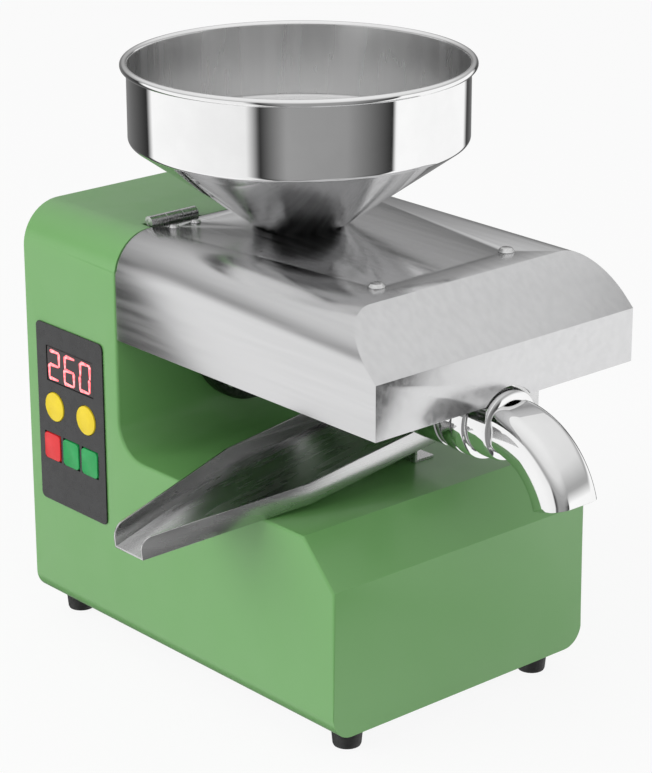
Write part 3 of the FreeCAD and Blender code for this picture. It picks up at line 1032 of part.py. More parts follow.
# ---- motor, lying in the base and bolted against the gearbox cover
def motor():
    front = "-shellWall"
    body = newBody("motorCan")
    half = outline(sketchOn(body, "XZ_Plane", "canHalf"), [
        (front, "motorShaft + shaftRoom"), (front, "motorRadius"), (front + " + motorLong - motorCap",
                "motorRadius"),
        (front + " + motorLong - motorCap", "motorRadius - motorWall"),
        (front + " + motorWall", "motorRadius - motorWall"), (front + " + motorWall",
                "motorShaft + shaftRoom")])
    turn(body, "Revolution", half, "canTurned")
    bind(body, Placement_Base_z="motorZ")
    keep(body, "motor_can")

    body = newBody("endCap")
    half = outline(sketchOn(body, "XZ_Plane", "capHalf"), [
        (front + " + motorLong - motorCap", "motorShaft + shaftPlay"),
        (front + " + motorLong - motorCap", "motorRadius"),
        (front + " + motorLong - capBevel", "motorRadius"),
        (front + " + motorLong", "motorRadius - capBevel"), (front + " + motorLong",
                "motorShaft + shaftPlay")])
    turned = turn(body, "Revolution", half, "capTurned")
    vent = circle(sketchOn(body, "YZ_Plane", "capVent", "motorLong + 1"), "fanRadius - ventRadius", "0",
                  "ventRadius")
    drilled = grow(body, "Pocket", vent, "capVentCut", "motorCap + 5")
    aroundX(body, drilled, "capVents", 8)
    doc.recompute()
    assert body.Shape.Volume < drilled.Shape.Volume < turned.Shape.Volume
    bind(body, Placement_Base_z="motorZ")
    keep(body, "motor_end_cap")

    body = newBody("rotor")
    coreEnd = "(motorLong - motorCap - fanThick - 2 * motorWall)"
    half = outline(sketchOn(body, "XZ_Plane", "rotorHalf"), [
        ("firstStageX", "0"), ("firstStageX", "motorShaft"), ("motorWall + 2", "motorShaft"),
        ("motorWall + 2", "motorRadius - motorWall - rotorGap"), (coreEnd,
                "motorRadius - motorWall - rotorGap"),
        (coreEnd, "motorShaft"), (front + " + motorLong - 2", "motorShaft"), (front + " + motorLong - 2",
                "0")])
    turn(body, "Revolution", half, "rotorTurned")
    bind(body, Placement_Base_z="motorZ")
    keep(body, "motor_rotor")

    body = newBody("fan")
    fanStart = "(motorLong - motorCap - fanThick - motorWall)"
    hub = sketchOn(body, "YZ_Plane", "fanHub", fanStart)
    circle(hub, "0", "0", "fanHub")
    circle(hub, "0", "0", "motorShaft + shaftPlay")
    grow(body, "Pad", hub, "fanHubPad", "fanThick")
    blade = rectangle(sketchOn(body, "YZ_Plane", "fanBlade", fanStart), "(fanRadius + fanHub) / 2", "0",
                      "fanRadius - fanHub + fanBladeThick", "fanBladeThick")
    vane = grow(body, "Pad", blade, "fanBladePad", "fanThick")
    aroundX(body, vane, "fanBlades", 9)
    bind(body, Placement_Base_z="motorZ")
    keep(body, "motor_fan")

    # Cradle on the bottom plate, hollowed to the motor's round.
    low = "(footHigh + plateThick)"
    block = box("cradleBlock", "cradleX - cradleLong / 2", "-cradleHalf", low, "cradleLong",
                "2 * cradleHalf",
                "motorZ - %s - motorRadius * 0.7" % low)
    round_ = rod("cradleRound", "X", "cradleX - cradleLong / 2 - 1", "0", "motorZ", "motorRadius + fitGap",
                 "cradleLong + 2")
    keep(cut("cradle", block, round_), "motor_cradle")


def inletSocket():
    rim = box("socketRimPlate", "-columnDeep - socketProud", "socketY - socketWide / 2 - socketRim",
              "socketZ - socketHigh / 2 - socketRim", "socketProud", "socketWide + 2 * socketRim",
              "socketHigh + 2 * socketRim")
    block = box("socketBlock", "-columnDeep - socketProud / 2", "socketY - socketWide / 2",
                "socketZ - socketHigh / 2",
                "socketDeep", "socketWide", "socketHigh")
    well = box("socketWell", "-columnDeep - socketProud - 1", "socketY - socketWide / 2 + socketWall",
               "socketZ - socketHigh / 2 + socketWall",
               "socketDeep + socketProud / 2 + 1 - socketWall - socketFloor",
               "socketWide - 2 * socketWall", "socketHigh - 2 * socketWall")
    shell = cut("socketShell", fuse("socketSolid", [rim, block]), well)
    pins = [box("socketPin", "-columnDeep + socketDeep - socketPinLong - socketProud",
                "socketY + (%d) * socketPinPitch - socketPinWide / 2" % side,
                "socketZ - (%d) * socketPinDrop" % abs(side), "socketPinLong", "socketPinWide",
                "socketPinHigh")
            for side in (-1, 0, 1)]
    keep(fuse("socket", [shell] + pins), "inlet_socket")


def finishParts():
    doc.recompute()
    for thing in doc.Objects:
        bad = [word for word in thing.State if word in ("Invalid", "Error")]
        assert not bad, "%s is %s" % (thing.Label, bad)
    os.makedirs("parts", exist_ok=True)
    for thing in parts:
        assert not thing.Shape.isNull() and thing.Shape.isValid(), thing.Label
        thing.Shape.exportStep("parts/%s.step" % thing.Label)
    print(len(parts), "parts")
    whole = Part.makeCompound([thing.Shape for thing in parts])
    print(whole.BoundBox)


housingShell()
housingPlates()
feet()
controlPanel()
keys()
controlBoard()
hoodShell()
hinges()
hopper()
outputFlange()
pressBarrel()
heater()
ringNut()
worm()
cakeSpout()
oilTray()
gearTrain()
gearCase()
motor()
inletSocket()
finishParts()
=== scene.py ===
import bmesh
import bpy
import json
import math
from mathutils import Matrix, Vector

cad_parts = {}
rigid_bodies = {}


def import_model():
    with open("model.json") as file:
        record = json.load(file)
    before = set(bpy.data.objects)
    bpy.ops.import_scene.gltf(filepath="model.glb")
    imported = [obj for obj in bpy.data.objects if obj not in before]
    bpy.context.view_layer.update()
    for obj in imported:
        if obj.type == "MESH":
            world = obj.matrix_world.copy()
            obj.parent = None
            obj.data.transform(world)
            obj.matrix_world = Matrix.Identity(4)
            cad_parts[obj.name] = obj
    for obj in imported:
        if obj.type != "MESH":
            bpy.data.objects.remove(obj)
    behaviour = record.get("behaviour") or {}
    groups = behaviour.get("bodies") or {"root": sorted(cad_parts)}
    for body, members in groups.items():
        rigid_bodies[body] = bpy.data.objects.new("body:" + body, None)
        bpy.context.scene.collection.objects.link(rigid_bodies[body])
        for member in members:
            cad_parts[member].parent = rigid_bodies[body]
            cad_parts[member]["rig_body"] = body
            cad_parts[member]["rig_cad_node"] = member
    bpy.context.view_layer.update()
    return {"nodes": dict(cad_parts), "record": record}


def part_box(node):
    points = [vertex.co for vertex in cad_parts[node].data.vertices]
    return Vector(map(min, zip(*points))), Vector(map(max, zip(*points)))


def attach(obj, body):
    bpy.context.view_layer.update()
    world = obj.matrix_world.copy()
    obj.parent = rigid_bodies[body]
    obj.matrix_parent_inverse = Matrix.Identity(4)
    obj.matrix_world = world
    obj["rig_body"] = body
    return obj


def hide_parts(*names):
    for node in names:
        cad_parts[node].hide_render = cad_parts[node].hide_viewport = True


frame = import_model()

nodes = frame["nodes"]
mm = 0.001
print("frame loaded,", len(nodes), "nodes")

# Sizes are in mm: x from the column's front face, y from the screw's plane, z from the floor.
design = {"columnDeep": 72.5, "screwHigh": 153}
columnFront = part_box("housing_shell")[0].x + design["columnDeep"] * mm
screwPlane = sum(corner.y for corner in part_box("ring_nut")) / 2


def at(x, y, z):
    return Vector((columnFront + x * mm, screwPlane + y * mm, z * mm))


barrelMiddle = at(0, 0, design["screwHigh"])

# Ways of working
meshValues = {"weld": 0.002, "cadWeld": 0.004, "flatTurn": 0.5}


def clearSelection():
    if bpy.context.object and bpy.context.object.mode != "OBJECT":
        bpy.ops.object.mode_set(mode="OBJECT")
    bpy.ops.object.select_all(action="DESELECT")


def take(piece):
    clearSelection()
    piece.select_set(True)
    bpy.context.view_layer.objects.active = piece


def editAll(piece, kind="FACE"):
    take(piece)
    bpy.ops.object.mode_set(mode="EDIT")
    bpy.ops.mesh.select_mode(type=kind)
    bpy.ops.mesh.select_all(action="SELECT")


def pickEdges(piece, test, sharp):
    # leaves the piece in edit mode; the edges selected turn by more than sharp degrees and
    # have their middle pass the test
    editAll(piece, "EDGE")
    bpy.ops.mesh.select_all(action="DESELECT")
    mesh = bmesh.from_edit_mesh(piece.data)
    for edge in mesh.edges:
        middle = (edge.verts[0].co + edge.verts[1].co) / 2
        bend = edge.calc_face_angle(math.pi) if len(edge.link_faces) == 2 else math.pi
        edge.select_set(bend > math.radians(sharp) and test(middle))
    bmesh.update_edit_mesh(piece.data)


def pickPoints(piece, test):
    # the same for points
    editAll(piece, "VERT")
    bpy.ops.mesh.select_all(action="DESELECT")
    mesh = bmesh.from_edit_mesh(piece.data)
    for point in mesh.verts:
        point.select_set(test(point.co))
    mesh.select_flush(True)
    bmesh.update_edit_mesh(piece.data)


def named(piece, name):
    piece.name = name
    piece.data.name = name
    return piece


def settle(piece):
    # place, turn and size go into the mesh
    take(piece)
    bpy.ops.object.transform_apply(location=True, rotation=True, scale=True)
    return piece


def tidyMesh(piece):
    editAll(piece)
    bpy.ops.mesh.remove_doubles(threshold=meshValues["weld"] * mm)
    bpy.ops.mesh.normals_make_consistent(inside=False)
    bpy.ops.object.mode_set(mode="OBJECT")
    return piece


def softEdges(piece, width, segments=2, angle=30):
    take(piece)
    rounding = piece.modifiers.new("edges", "BEVEL")
    rounding.width = width * mm
    rounding.segments = segments
    rounding.limit_method = "ANGLE"
    rounding.angle_limit = math.radians(angle)
    rounding.harden_normals = False
    bpy.ops.object.modifier_apply(modifier=rounding.name)
    return piece


def smooth(piece, angle):
    take(piece)
    bpy.ops.object.shade_smooth_by_angle(angle=math.radians(angle))
    return piece


def finish(piece, body, material, angle=30, replaced=()):
    settle(piece)
    smooth(piece, angle)
    piece.data.materials.clear()
    piece.data.materials.append(material)
    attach(piece, body)
    if replaced:
        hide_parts(*replaced)
    return piece


def ringStack(name, middle, profile, steps, axis="Z"):
    # a turned form: one circle, extruded and resized ring by ring along (radius, height) in mm
    upright = axis == "Z"
    along = Vector((0, 0, 1)) if upright else Vector((1, 0, 0))
    radius, height = profile[0]
    clearSelection()
    bpy.ops.mesh.primitive_circle_add(
        vertices=steps, radius=radius * mm, location=middle + along * height * mm,
        rotation=(0, 0, 0) if upright else (0, math.pi / 2, 0))
    piece = named(settle(bpy.context.object), name)
    editAll(piece, "EDGE")
    for nextRadius, nextHeight in profile[1:]:
        ratio = nextRadius / radius
        step = along * (nextHeight - height) * mm
        bpy.ops.mesh.extrude_edges_move(TRANSFORM_OT_translate={"value": step})
        bpy.ops.transform.resize(value=(ratio, ratio, 1) if upright else (1, ratio, ratio),
                                 center_override=middle + along * nextHeight * mm)
        radius, height = nextRadius, nextHeight
    return tidyMesh(piece)


def join(name, pieces):
    clearSelection()
    for piece in pieces:
        piece.select_set(True)
    bpy.context.view_layer.objects.active = pieces[0]
    bpy.ops.object.join()
    return named(bpy.context.object, name)


def sheetCopy(node, name):
    # a copy of a CAD node's mesh, merged and with its flat faces made whole
    take(nodes[node])
    bpy.ops.object.duplicate(linked=False)
    piece = named(bpy.context.object, name)
    piece.parent = None
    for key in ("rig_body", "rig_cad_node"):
        del piece[key]
    bpy.ops.mesh.customdata_custom_splitnormals_clear()
    editAll(piece)
    bpy.ops.mesh.remove_doubles(threshold=meshValues["cadWeld"] * mm)
    bpy.ops.mesh.dissolve_limited(angle_limit=math.radians(meshValues["flatTurn"]))
    bpy.ops.object.mode_set(mode="OBJECT")
    return piece


def dressCopy(node, name, body, edge=0.15, segments=1, angle=30, material=None):
    # the CAD part's own form with its edges softened, in the part's place
    piece = softEdges(sheetCopy(node, name), edge, segments, angle)
    return finish(piece, body, material or look[bySlot[slotOf[node]]], 30, [node])


# Materials
mixSockets = {"share": 0, "first": 6, "second": 7, "result": 2}
noiseSpan = (0.35, 0.65)


def newMaterial(name):
    material = bpy.data.materials.new(name)
    material.use_nodes = True
    tree = material.node_tree
    return material, tree, tree.nodes["Principled BSDF"]


def addNode(tree, kind, settings=None, **sockets):
    node = tree.nodes.new(kind)
    for key, value in (settings or {}).items():
        setattr(node, key, value)
    for key, value in sockets.items():
        node.inputs[key.replace("_", " ")].default_value = value
    return node


def noise(tree, scale, stretch=(1, 1, 1), detail=2.0):
    # noise on Object coordinates, stretched along one axis where a finish has a direction
    place = addNode(tree, "ShaderNodeTexCoord")
    mapping = addNode(tree, "ShaderNodeMapping", Scale=stretch)
    grain = addNode(tree, "ShaderNodeTexNoise", Scale=scale, Detail=detail)
    tree.links.new(place.outputs["Object"], mapping.inputs["Vector"])
    tree.links.new(mapping.outputs["Vector"], grain.inputs["Vector"])
    return grain.outputs["Fac"]


def spread(tree, value, low, high, span=noiseSpan):
    # the span of a value spread between low and high
    reach = addNode(tree, "ShaderNodeMapRange")
    limits = {"From Min": span[0], "From Max": span[1], "To Min": low, "To Max": high}
    for key, number in limits.items():
        reach.inputs[key].default_value = number
    tree.links.new(value, reach.inputs["Value"])
    return reach.outputs["Result"]


def tinted(tree, shader, values, grain):
    # the colour drifts between two close tones
    mix = addNode(tree, "ShaderNodeMix", {"data_type": "RGBA"})
    mix.inputs[mixSockets["first"]].default_value = (*values["colour"], 1)
    mix.inputs[mixSockets["second"]].default_value = (*values["second"], 1)
    tree.links.new(spread(tree, grain, 0, 1), mix.inputs[mixSockets["share"]])
    tint = mix.outputs[mixSockets["result"]]
    tree.links.new(tint, shader.inputs["Base Color"])
    return tint


def roughened(tree, shader, values, grain):
    tree.links.new(spread(tree, grain, *values["rough"]), shader.inputs["Roughness"])


def bumps(tree, shader, value, distance):
    bump = addNode(tree, "ShaderNodeBump", Distance=distance * mm, Strength=1.0)
    tree.links.new(value, bump.inputs["Height"])
    tree.links.new(bump.outputs["Normal"], shader.inputs["Normal"])


def paint(name, values):
    material, tree, shader = newMaterial(name)
    tinted(tree, shader, values, noise(tree, values["shade"]))
    roughened(tree, shader, values, noise(tree, values["sheen"]))
    shader.inputs["Coat Weight"].default_value = values["coat"]
    shader.inputs["Coat Roughness"].default_value = values["coatRough"]
    bumps(tree, shader, noise(tree, values["peel"]), values["peelDeep"])
    return material


def metal(name, values):
    material, tree, shader = newMaterial(name)
    grain = noise(tree, values["grain"], values.get("stretch", (1, 1, 1)), 3)
    tinted(tree, shader, values, grain)
    shader.inputs["Metallic"].default_value = 1
    roughened(tree, shader, values, grain)
    if values.get("deep"):
        bumps(tree, shader, grain, values["deep"])
    return material


def plastic(name, values):
    # the roughness and the bumps are finer than the colour's drift
    material, tree, shader = newMaterial(name)
    tinted(tree, shader, values, noise(tree, values["grain"]))
    roughened(tree, shader, values, noise(tree, values["grain"] * 3))
    if values.get("deep"):
        bumps(tree, shader, noise(tree, values["grain"] * 8), values["deep"])
    return material


def glow(name, values):
    material, tree, shader = newMaterial(name)
    tint = tinted(tree, shader, values, noise(tree, values["grain"]))
    tree.links.new(tint, shader.inputs["Emission Color"])
    shader.inputs["Emission Strength"].default_value = values["strength"]
    shader.inputs["Roughness"].default_value = values["rough"]
    return material


paints = {
    "housing": {"colour": (0.150, 0.365, 0.112), "second": (0.158, 0.380, 0.120),
                "rough": (0.34, 0.42), "shade": 9, "sheen": 40,
                "coat": 0.35, "coatRough": 0.16, "peel": 700, "peelDeep": 0.004},
}
metals = {
    "satinHood": {"colour": (0.60, 0.60, 0.605), "second": (0.64, 0.64, 0.645),
                  "rough": (0.17, 0.25), "grain": 260, "stretch": (0.05, 1, 1), "deep": 0.0004},
    "satinTray": {"colour": (0.58, 0.58, 0.58), "second": (0.64, 0.64, 0.64),
                  "rough": (0.22, 0.30), "grain": 220, "stretch": (1, 0.06, 1), "deep": 0.0006},
    "satinSmall": {"colour": (0.58, 0.58, 0.58), "second": (0.66, 0.66, 0.66),
                   "rough": (0.22, 0.32), "grain": 300, "deep": 0.0005},
    "mirror": {"colour": (0.80, 0.80, 0.80), "second": (0.83, 0.83, 0.83),
               "rough": (0.03, 0.06), "grain": 60},
    "bowlInside": {"colour": (0.66, 0.66, 0.66), "second": (0.72, 0.72, 0.72),
                   "rough": (0.24, 0.32), "grain": 90, "stretch": (1, 1, 0.1)},
    "fastener": {"colour": (0.60, 0.60, 0.60), "second": (0.72, 0.72, 0.72),
                 "rough": (0.2, 0.3), "grain": 400},
    "castDark": {"colour": (0.07, 0.07, 0.075), "second": (0.13, 0.13, 0.13),
                 "rough": (0.35, 0.5), "grain": 500, "deep": 0.01},
    "machined": {"colour": (0.48, 0.48, 0.49), "second": (0.58, 0.58, 0.58),
                 "rough": (0.22, 0.34), "grain": 500, "stretch": (1, 0.1, 0.1), "deep": 0.001},
    "bandSteel": {"colour": (0.78, 0.78, 0.78), "second": (0.84, 0.84, 0.84),
                  "rough": (0.1, 0.2), "grain": 200},
    "brass": {"colour": (0.62, 0.44, 0.16), "second": (0.70, 0.50, 0.20),
              "rough": (0.2, 0.35), "grain": 400},
    "castAluminium": {"colour": (0.50, 0.50, 0.51), "second": (0.60, 0.60, 0.60),
                      "rough": (0.4, 0.55), "grain": 600, "deep": 0.01},
    "galvanised": {"colour": (0.42, 0.43, 0.45), "second": (0.56, 0.57, 0.58),
                   "rough": (0.35, 0.5), "grain": 120},
}
plastics = {
    "rubber": {"colour": (0.012, 0.012, 0.012), "second": (0.022, 0.022, 0.022),
               "rough": (0.55, 0.7), "grain": 300, "deep": 0.01},
    "panel": {"colour": (0.006, 0.006, 0.007), "second": (0.010, 0.010, 0.011),
              "rough": (0.22, 0.3), "grain": 80},
    "display": {"colour": (0.010, 0.003, 0.004), "second": (0.016, 0.005, 0.006),
                "rough": (0.15, 0.2), "grain": 80},
    "yellowKey": {"colour": (0.80, 0.60, 0.012), "second": (0.86, 0.66, 0.02),
                  "rough": (0.3, 0.4), "grain": 150},
    "redKey": {"colour": (0.68, 0.02, 0.025), "second": (0.76, 0.03, 0.035),
               "rough": (0.3, 0.4), "grain": 150},
    "greenKey": {"colour": (0.008, 0.30, 0.07), "second": (0.012, 0.36, 0.09),
                 "rough": (0.3, 0.4), "grain": 150},
    "board": {"colour": (0.01, 0.10, 0.03), "second": (0.02, 0.16, 0.05),
              "rough": (0.3, 0.45), "grain": 200},
    "boardPost": {"colour": (0.68, 0.68, 0.64), "second": (0.74, 0.74, 0.70),
                  "rough": (0.4, 0.5), "grain": 200},
    "blackPlastic": {"colour": (0.015, 0.015, 0.016), "second": (0.03, 0.03, 0.03),
                     "rough": (0.4, 0.55), "grain": 300, "deep": 0.008},
}
glows = {
    "digit": {"colour": (1.0, 0.09, 0.11), "second": (1.0, 0.25, 0.26),
              "rough": 0.4, "grain": 600, "strength": 1.6},
}
look = {}
for make, family in ((paint, paints), (metal, metals), (plastic, plastics), (glow, glows)):
    look.update({name: make(name, values) for name, values in family.items()})
bySlot = {"housing": "housing", "galvanised": "galvanised", "rubber": "rubber",
          "fastener": "fastener", "panel": "panel", "display": "display",
          "yellow_key": "yellowKey", "red_key": "redKey", "green_key": "greenKey",
          "board": "board", "board_post": "boardPost", "satin_steel": "satinSmall",
          "polished_steel": "mirror", "cast_dark": "castDark", "machined_steel": "machined",
          "band_steel": "bandSteel", "brass": "brass", "cast_aluminium": "castAluminium",
          "black_plastic": "blackPlastic"}
slotOf = {entry["node"]: entry["material_slot"] for entry in frame["record"]["subparts"]}
for name, piece in nodes.items():
    piece.data.materials.clear()
    piece.data.materials.append(look[bySlot[slotOf[name]]])
print("materials made")

# Housing
housingValues = {"edge": 1.5, "edgeSteps": 4, "sharp": 30, "touch": 0.1, "rearFold": 1.0,
                 "skirtTop": 24.0, "plateEdge": 0.2}
housing = sheetCopy("housing_shell", "housing_wrap")
housingLow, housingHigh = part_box("housing_shell")


def frontProfile(middle):
    # where the outer side faces meet the folded front
    touch = housingValues["touch"] * mm
    outer = abs(middle.y - housingLow.y) < touch or abs(middle.y - housingHigh.y) < touch
    infront = middle.x > housingLow.x + housingValues["rearFold"] * mm
    return outer and infront and middle.z > housingValues["skirtTop"] * mm


pickEdges(housing, frontProfile, housingValues["sharp"])
bpy.ops.mesh.bevel(offset=housingValues["edge"] * mm, segments=housingValues["edgeSteps"],
                   affect="EDGES")
finish(housing, "frame", look["housing"], 35, ["housing_shell"])
for node in ("bottom_plate", "rear_panel"):
    dressCopy(node, node + "_sheet", "frame", housingValues["plateEdge"])
print("housing done")

# Feet
footValues = {"steps": 48, "edge": 1.2, "edgeCut": 0.3, "hollow": 4.5, "hollowTop": 4.0,
              "hollowEdge": 0.3, "soleInset": 0.85, "waistInset": 0.3, "waistHigh": 0.6,
              "shoulderHigh": 0.85, "screwHole": 2.15}


def footProfile(wide, tall, v):
    # from the hollow under the sole, round the outside and back down the screw's hole
    sole, cut = wide - v["soleInset"], v["edge"] * v["edgeCut"]
    return [(v["hollow"], v["hollowTop"]), (v["hollow"], v["hollowEdge"]),
            (v["hollow"] + v["hollowEdge"], 0), (sole - v["edge"], 0), (sole - cut, cut),
            (sole, v["edge"]), (wide - v["waistInset"], tall * v["waistHigh"]),
            (wide, tall * v["shoulderHigh"]), (wide, tall), (v["screwHole"], tall),
            (v["screwHole"], v["hollowTop"]), (v["hollow"], v["hollowTop"])]


for node in ("foot_front_near", "foot_front_far", "foot_rear_near", "foot_rear_far"):
    footLow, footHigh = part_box(node)
    middle = Vector(((footLow.x + footHigh.x) / 2, (footLow.y + footHigh.y) / 2, 0))
    wide, tall = (footHigh.x - footLow.x) / 2 / mm, footHigh.z / mm
    foot = ringStack(node + "_rubber", middle, footProfile(wide, tall, footValues),
                     footValues["steps"])
    finish(foot, "frame", look["rubber"], 40, [node])
print("feet done")

# Hood
hoodValues = {"edge": 0.5, "sharp": 25}
dressCopy("hood_shell", "hood_sheet", "hood", hoodValues["edge"], 2, hoodValues["sharp"],
          look["satinHood"])
for node in ("hood_strip", "hinge_leaf_hood_near", "hinge_leaf_hood_far"):
    dressCopy(node, node + "_sheet", "hood")
for node in ("hinge_leaf_column_near", "hinge_leaf_column_far"):
    dressCopy(node, node + "_sheet", "frame")
print("hood done")

# Hopper
hopperValues = {"steps": 160, "neck": 17.5, "foot": 21.6, "bowl": 80.2, "sheet": 0.8,
                "neckLow": 209.0, "seat": 215.5, "coneTop": 257.6, "corner": 3.0,
                "cornerSteps": 6, "bead": 1.9, "beadHigh": 293.0, "beadSteps": 16,
                "insideTop": 293.5, "insideReach": 79.6, "axisRoom": 1.0}
hopperLow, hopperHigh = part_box("hopper")
hopperMiddle = Vector(((hopperLow.x + hopperHigh.x) / 2, (hopperLow.y + hopperHigh.y) / 2, 0))


def hopperProfile(v):
    wall, inner = v["bowl"], v["bowl"] - v["sheet"]
    slope = math.atan((v["coneTop"] - v["seat"]) / (v["bowl"] - v["foot"]))
    upright = math.pi / 2 - slope
    foldRadius = wall - v["corner"]
    foldHigh = v["coneTop"] + v["corner"] * math.tan(upright / 2)
    points = [(v["neck"], v["neckLow"]), (v["neck"], v["seat"]), (v["foot"], v["seat"])]
    # the fold between the cone and the upright wall
    for k in range(v["cornerSteps"] + 1):
        turned = -math.pi / 2 + slope + upright * k / v["cornerSteps"]
        points.append((foldRadius + v["corner"] * math.cos(turned),
                       foldHigh + v["corner"] * math.sin(turned)))
    # the rolled bead
    centre = inner + v["bead"]
    start = -math.pi + math.acos((centre - wall) / v["bead"])
    for k in range(v["beadSteps"] + 1):
        turned = start + (math.pi - start) * k / v["beadSteps"]
        points.append((centre + v["bead"] * math.cos(turned),
                       v["beadHigh"] + v["bead"] * math.sin(turned)))
    # the fold's inside, and back down the cone
    small = v["corner"] - v["sheet"]
    for k in range(v["cornerSteps"] + 1):
        turned = -upright * k / v["cornerSteps"]
        points.append((foldRadius + small * math.cos(turned),
                       foldHigh + small * math.sin(turned)))
    rise = v["sheet"] / math.cos(slope)
    points += [(v["foot"], v["seat"] + rise), (v["neck"] - v["sheet"], v["seat"] + rise),
               (v["neck"] - v["sheet"], v["neckLow"]), (v["neck"], v["neckLow"])]
    return points


bowl = ringStack("hopper_spun", hopperMiddle, hopperProfile(hopperValues), hopperValues["steps"])
finish(bowl, "hopper_bowl", look["mirror"], 35, ["hopper"])
bowl.data.materials.append(look["bowlInside"])
for face in bowl.data.polygons:
    away = Vector((face.center.x - hopperMiddle.x, face.center.y - hopperMiddle.y))
    inward = away.length > hopperValues["axisRoom"] * mm and face.normal.xy.dot(away) < 0
    below = face.center.z < hopperValues["insideTop"] * mm
    within = away.length < hopperValues["insideReach"] * mm
    face.material_index = 1 if inward and below and within else 0
print("hopper done")

# Press head
bandValues = {"start": 114.0, "end": 153.0, "inner": 16.85, "outer": 18.5, "edge": 0.5,
              "steps": 96}
nutValues = {"start": 157.0, "end": 171.2, "radius": 19.0, "inner": 16.85, "lip": 14.6,
             "choke": 166.0, "edge": 1.0, "edgeCut": 0.3, "grooveTop": 0.8, "grooveFloor": 0.3,
             "grooveDeep": 1.6, "steps": 96}


def bandProfile(v):
    edgeRadius = v["outer"] - v["edge"]
    return [(v["inner"], v["start"]), (v["inner"], v["end"]), (edgeRadius, v["end"]),
            (v["outer"], v["end"] - v["edge"]), (v["outer"], v["start"] + v["edge"]),
            (edgeRadius, v["start"]), (v["inner"], v["start"])]


def nutProfile(v):
    edge, cut, middle = v["edge"], v["edgeCut"], (v["start"] + v["end"]) / 2
    floorRadius = v["radius"] - v["grooveDeep"]
    return [(v["inner"], v["start"]), (v["radius"] - edge, v["start"]),
            (v["radius"] - cut, v["start"] + cut), (v["radius"], v["start"] + edge),
            (v["radius"], middle - v["grooveTop"]), (floorRadius, middle - v["grooveFloor"]),
            (floorRadius, middle + v["grooveFloor"]), (v["radius"], middle + v["grooveTop"]),
            (v["radius"], v["end"] - edge), (v["radius"] - cut, v["end"] - cut),
            (v["radius"] - edge, v["end"]), (v["lip"], v["end"]), (v["lip"], v["choke"]),
            (v["inner"], v["choke"]), (v["inner"], v["start"])]


band = ringStack("heater_band_sleeve", barrelMiddle, bandProfile(bandValues),
                 bandValues["steps"], "X")
finish(band, "frame", look["bandSteel"], 30, ["heater_band"])
nut = ringStack("ring_nut_turned", barrelMiddle, nutProfile(nutValues), nutValues["steps"], "X")
finish(nut, "frame", look["mirror"], 30, ["ring_nut"])
for node in ("press_barrel", "output_flange", "flange_bolts", "temperature_sensor",
             "end_bracket", "tray_rest"):
    dressCopy(node, node + "_turned", "frame")
print("press head done")

# Cake spout
spoutValues = {"wide": 27.0, "deep": 21.4, "round": 7.0, "roundSteps": 8, "wall": 1.8,
               "bendX": 181.3, "bend": 37.4, "turn": 75.0, "bendSteps": 28, "lip": 0.4,
               "lipSharp": 50}
collarValues = {"start": 171.25, "end": 184.0, "radius": 16.8, "inner": 12.0, "edge": 0.6,
                "slope": ((0, 3), (0.8, 1), (2.6, 0)), "steps": 96}


def collarProfile(v):
    # slope: how far each point of the end's rounding lies in from the radius and the end
    edge, bore = v["edge"], v["inner"]
    points = [(bore, v["start"]), (v["radius"] - edge, v["start"]),
              (v["radius"], v["start"] + edge)]
    points += [(v["radius"] - inset, v["end"] - back) for inset, back in v["slope"]]
    return points + [(bore, v["end"]), (bore, v["start"])]


clearSelection()
bpy.ops.mesh.primitive_plane_add(
    size=1, location=at(spoutValues["bendX"], 0, design["screwHigh"]),
    rotation=(0, math.pi / 2, 0))
spout = named(bpy.context.object, "cake_spout_bend")
spout.scale = (spoutValues["deep"] * mm, spoutValues["wide"] * mm, 1)
settle(spout)
editAll(spout, "VERT")
bpy.ops.mesh.bevel(offset=spoutValues["round"] * mm, segments=spoutValues["roundSteps"],
                   affect="VERTICES")
bpy.ops.mesh.select_all(action="SELECT")
bpy.ops.mesh.delete(type="ONLY_FACE")
bpy.ops.mesh.select_all(action="SELECT")
bpy.ops.mesh.spin(
    steps=spoutValues["bendSteps"], angle=math.radians(-spoutValues["turn"]), axis=(0, 1, 0),
    center=at(spoutValues["bendX"], 0, design["screwHigh"] - spoutValues["bend"]))
tidyMesh(spout)
take(spout)
shell = spout.modifiers.new("wall", "SOLIDIFY")
shell.thickness = spoutValues["wall"] * mm
shell.offset = -1
shell.use_even_offset = True
bpy.ops.object.modifier_apply(modifier=shell.name)
softEdges(spout, spoutValues["lip"], 2, spoutValues["lipSharp"])
collar = ringStack("cake_spout_collar", barrelMiddle, collarProfile(collarValues),
                   collarValues["steps"], "X")
spout = join("cake_spout_polished", [spout, collar])
finish(spout, "spout", look["mirror"], 35, ["cake_spout"])
print("spout done")

# Oil tray
trayValues = {"edge": 0.2, "sharp": 25}
dressCopy("oil_tray", "oil_tray_folded", "tray", trayValues["edge"], 2, trayValues["sharp"],
          look["satinTray"])
print("tray done")

# Control panel
panelValues = {"windowEdge": 0.1, "keyEdge": 0.25}
digitValues = {"high": 14.2, "wide": 7.6, "stroke": 1.5, "gap": 0.35, "lean": 0.08,
               "proud": 0.15, "firstX": -50.1, "pitch": 12.5, "z": 138.8, "middle": 0.01}
dressCopy("control_panel", "control_panel_film", "frame")
dressCopy("display_module", "display_window", "frame", panelValues["windowEdge"])


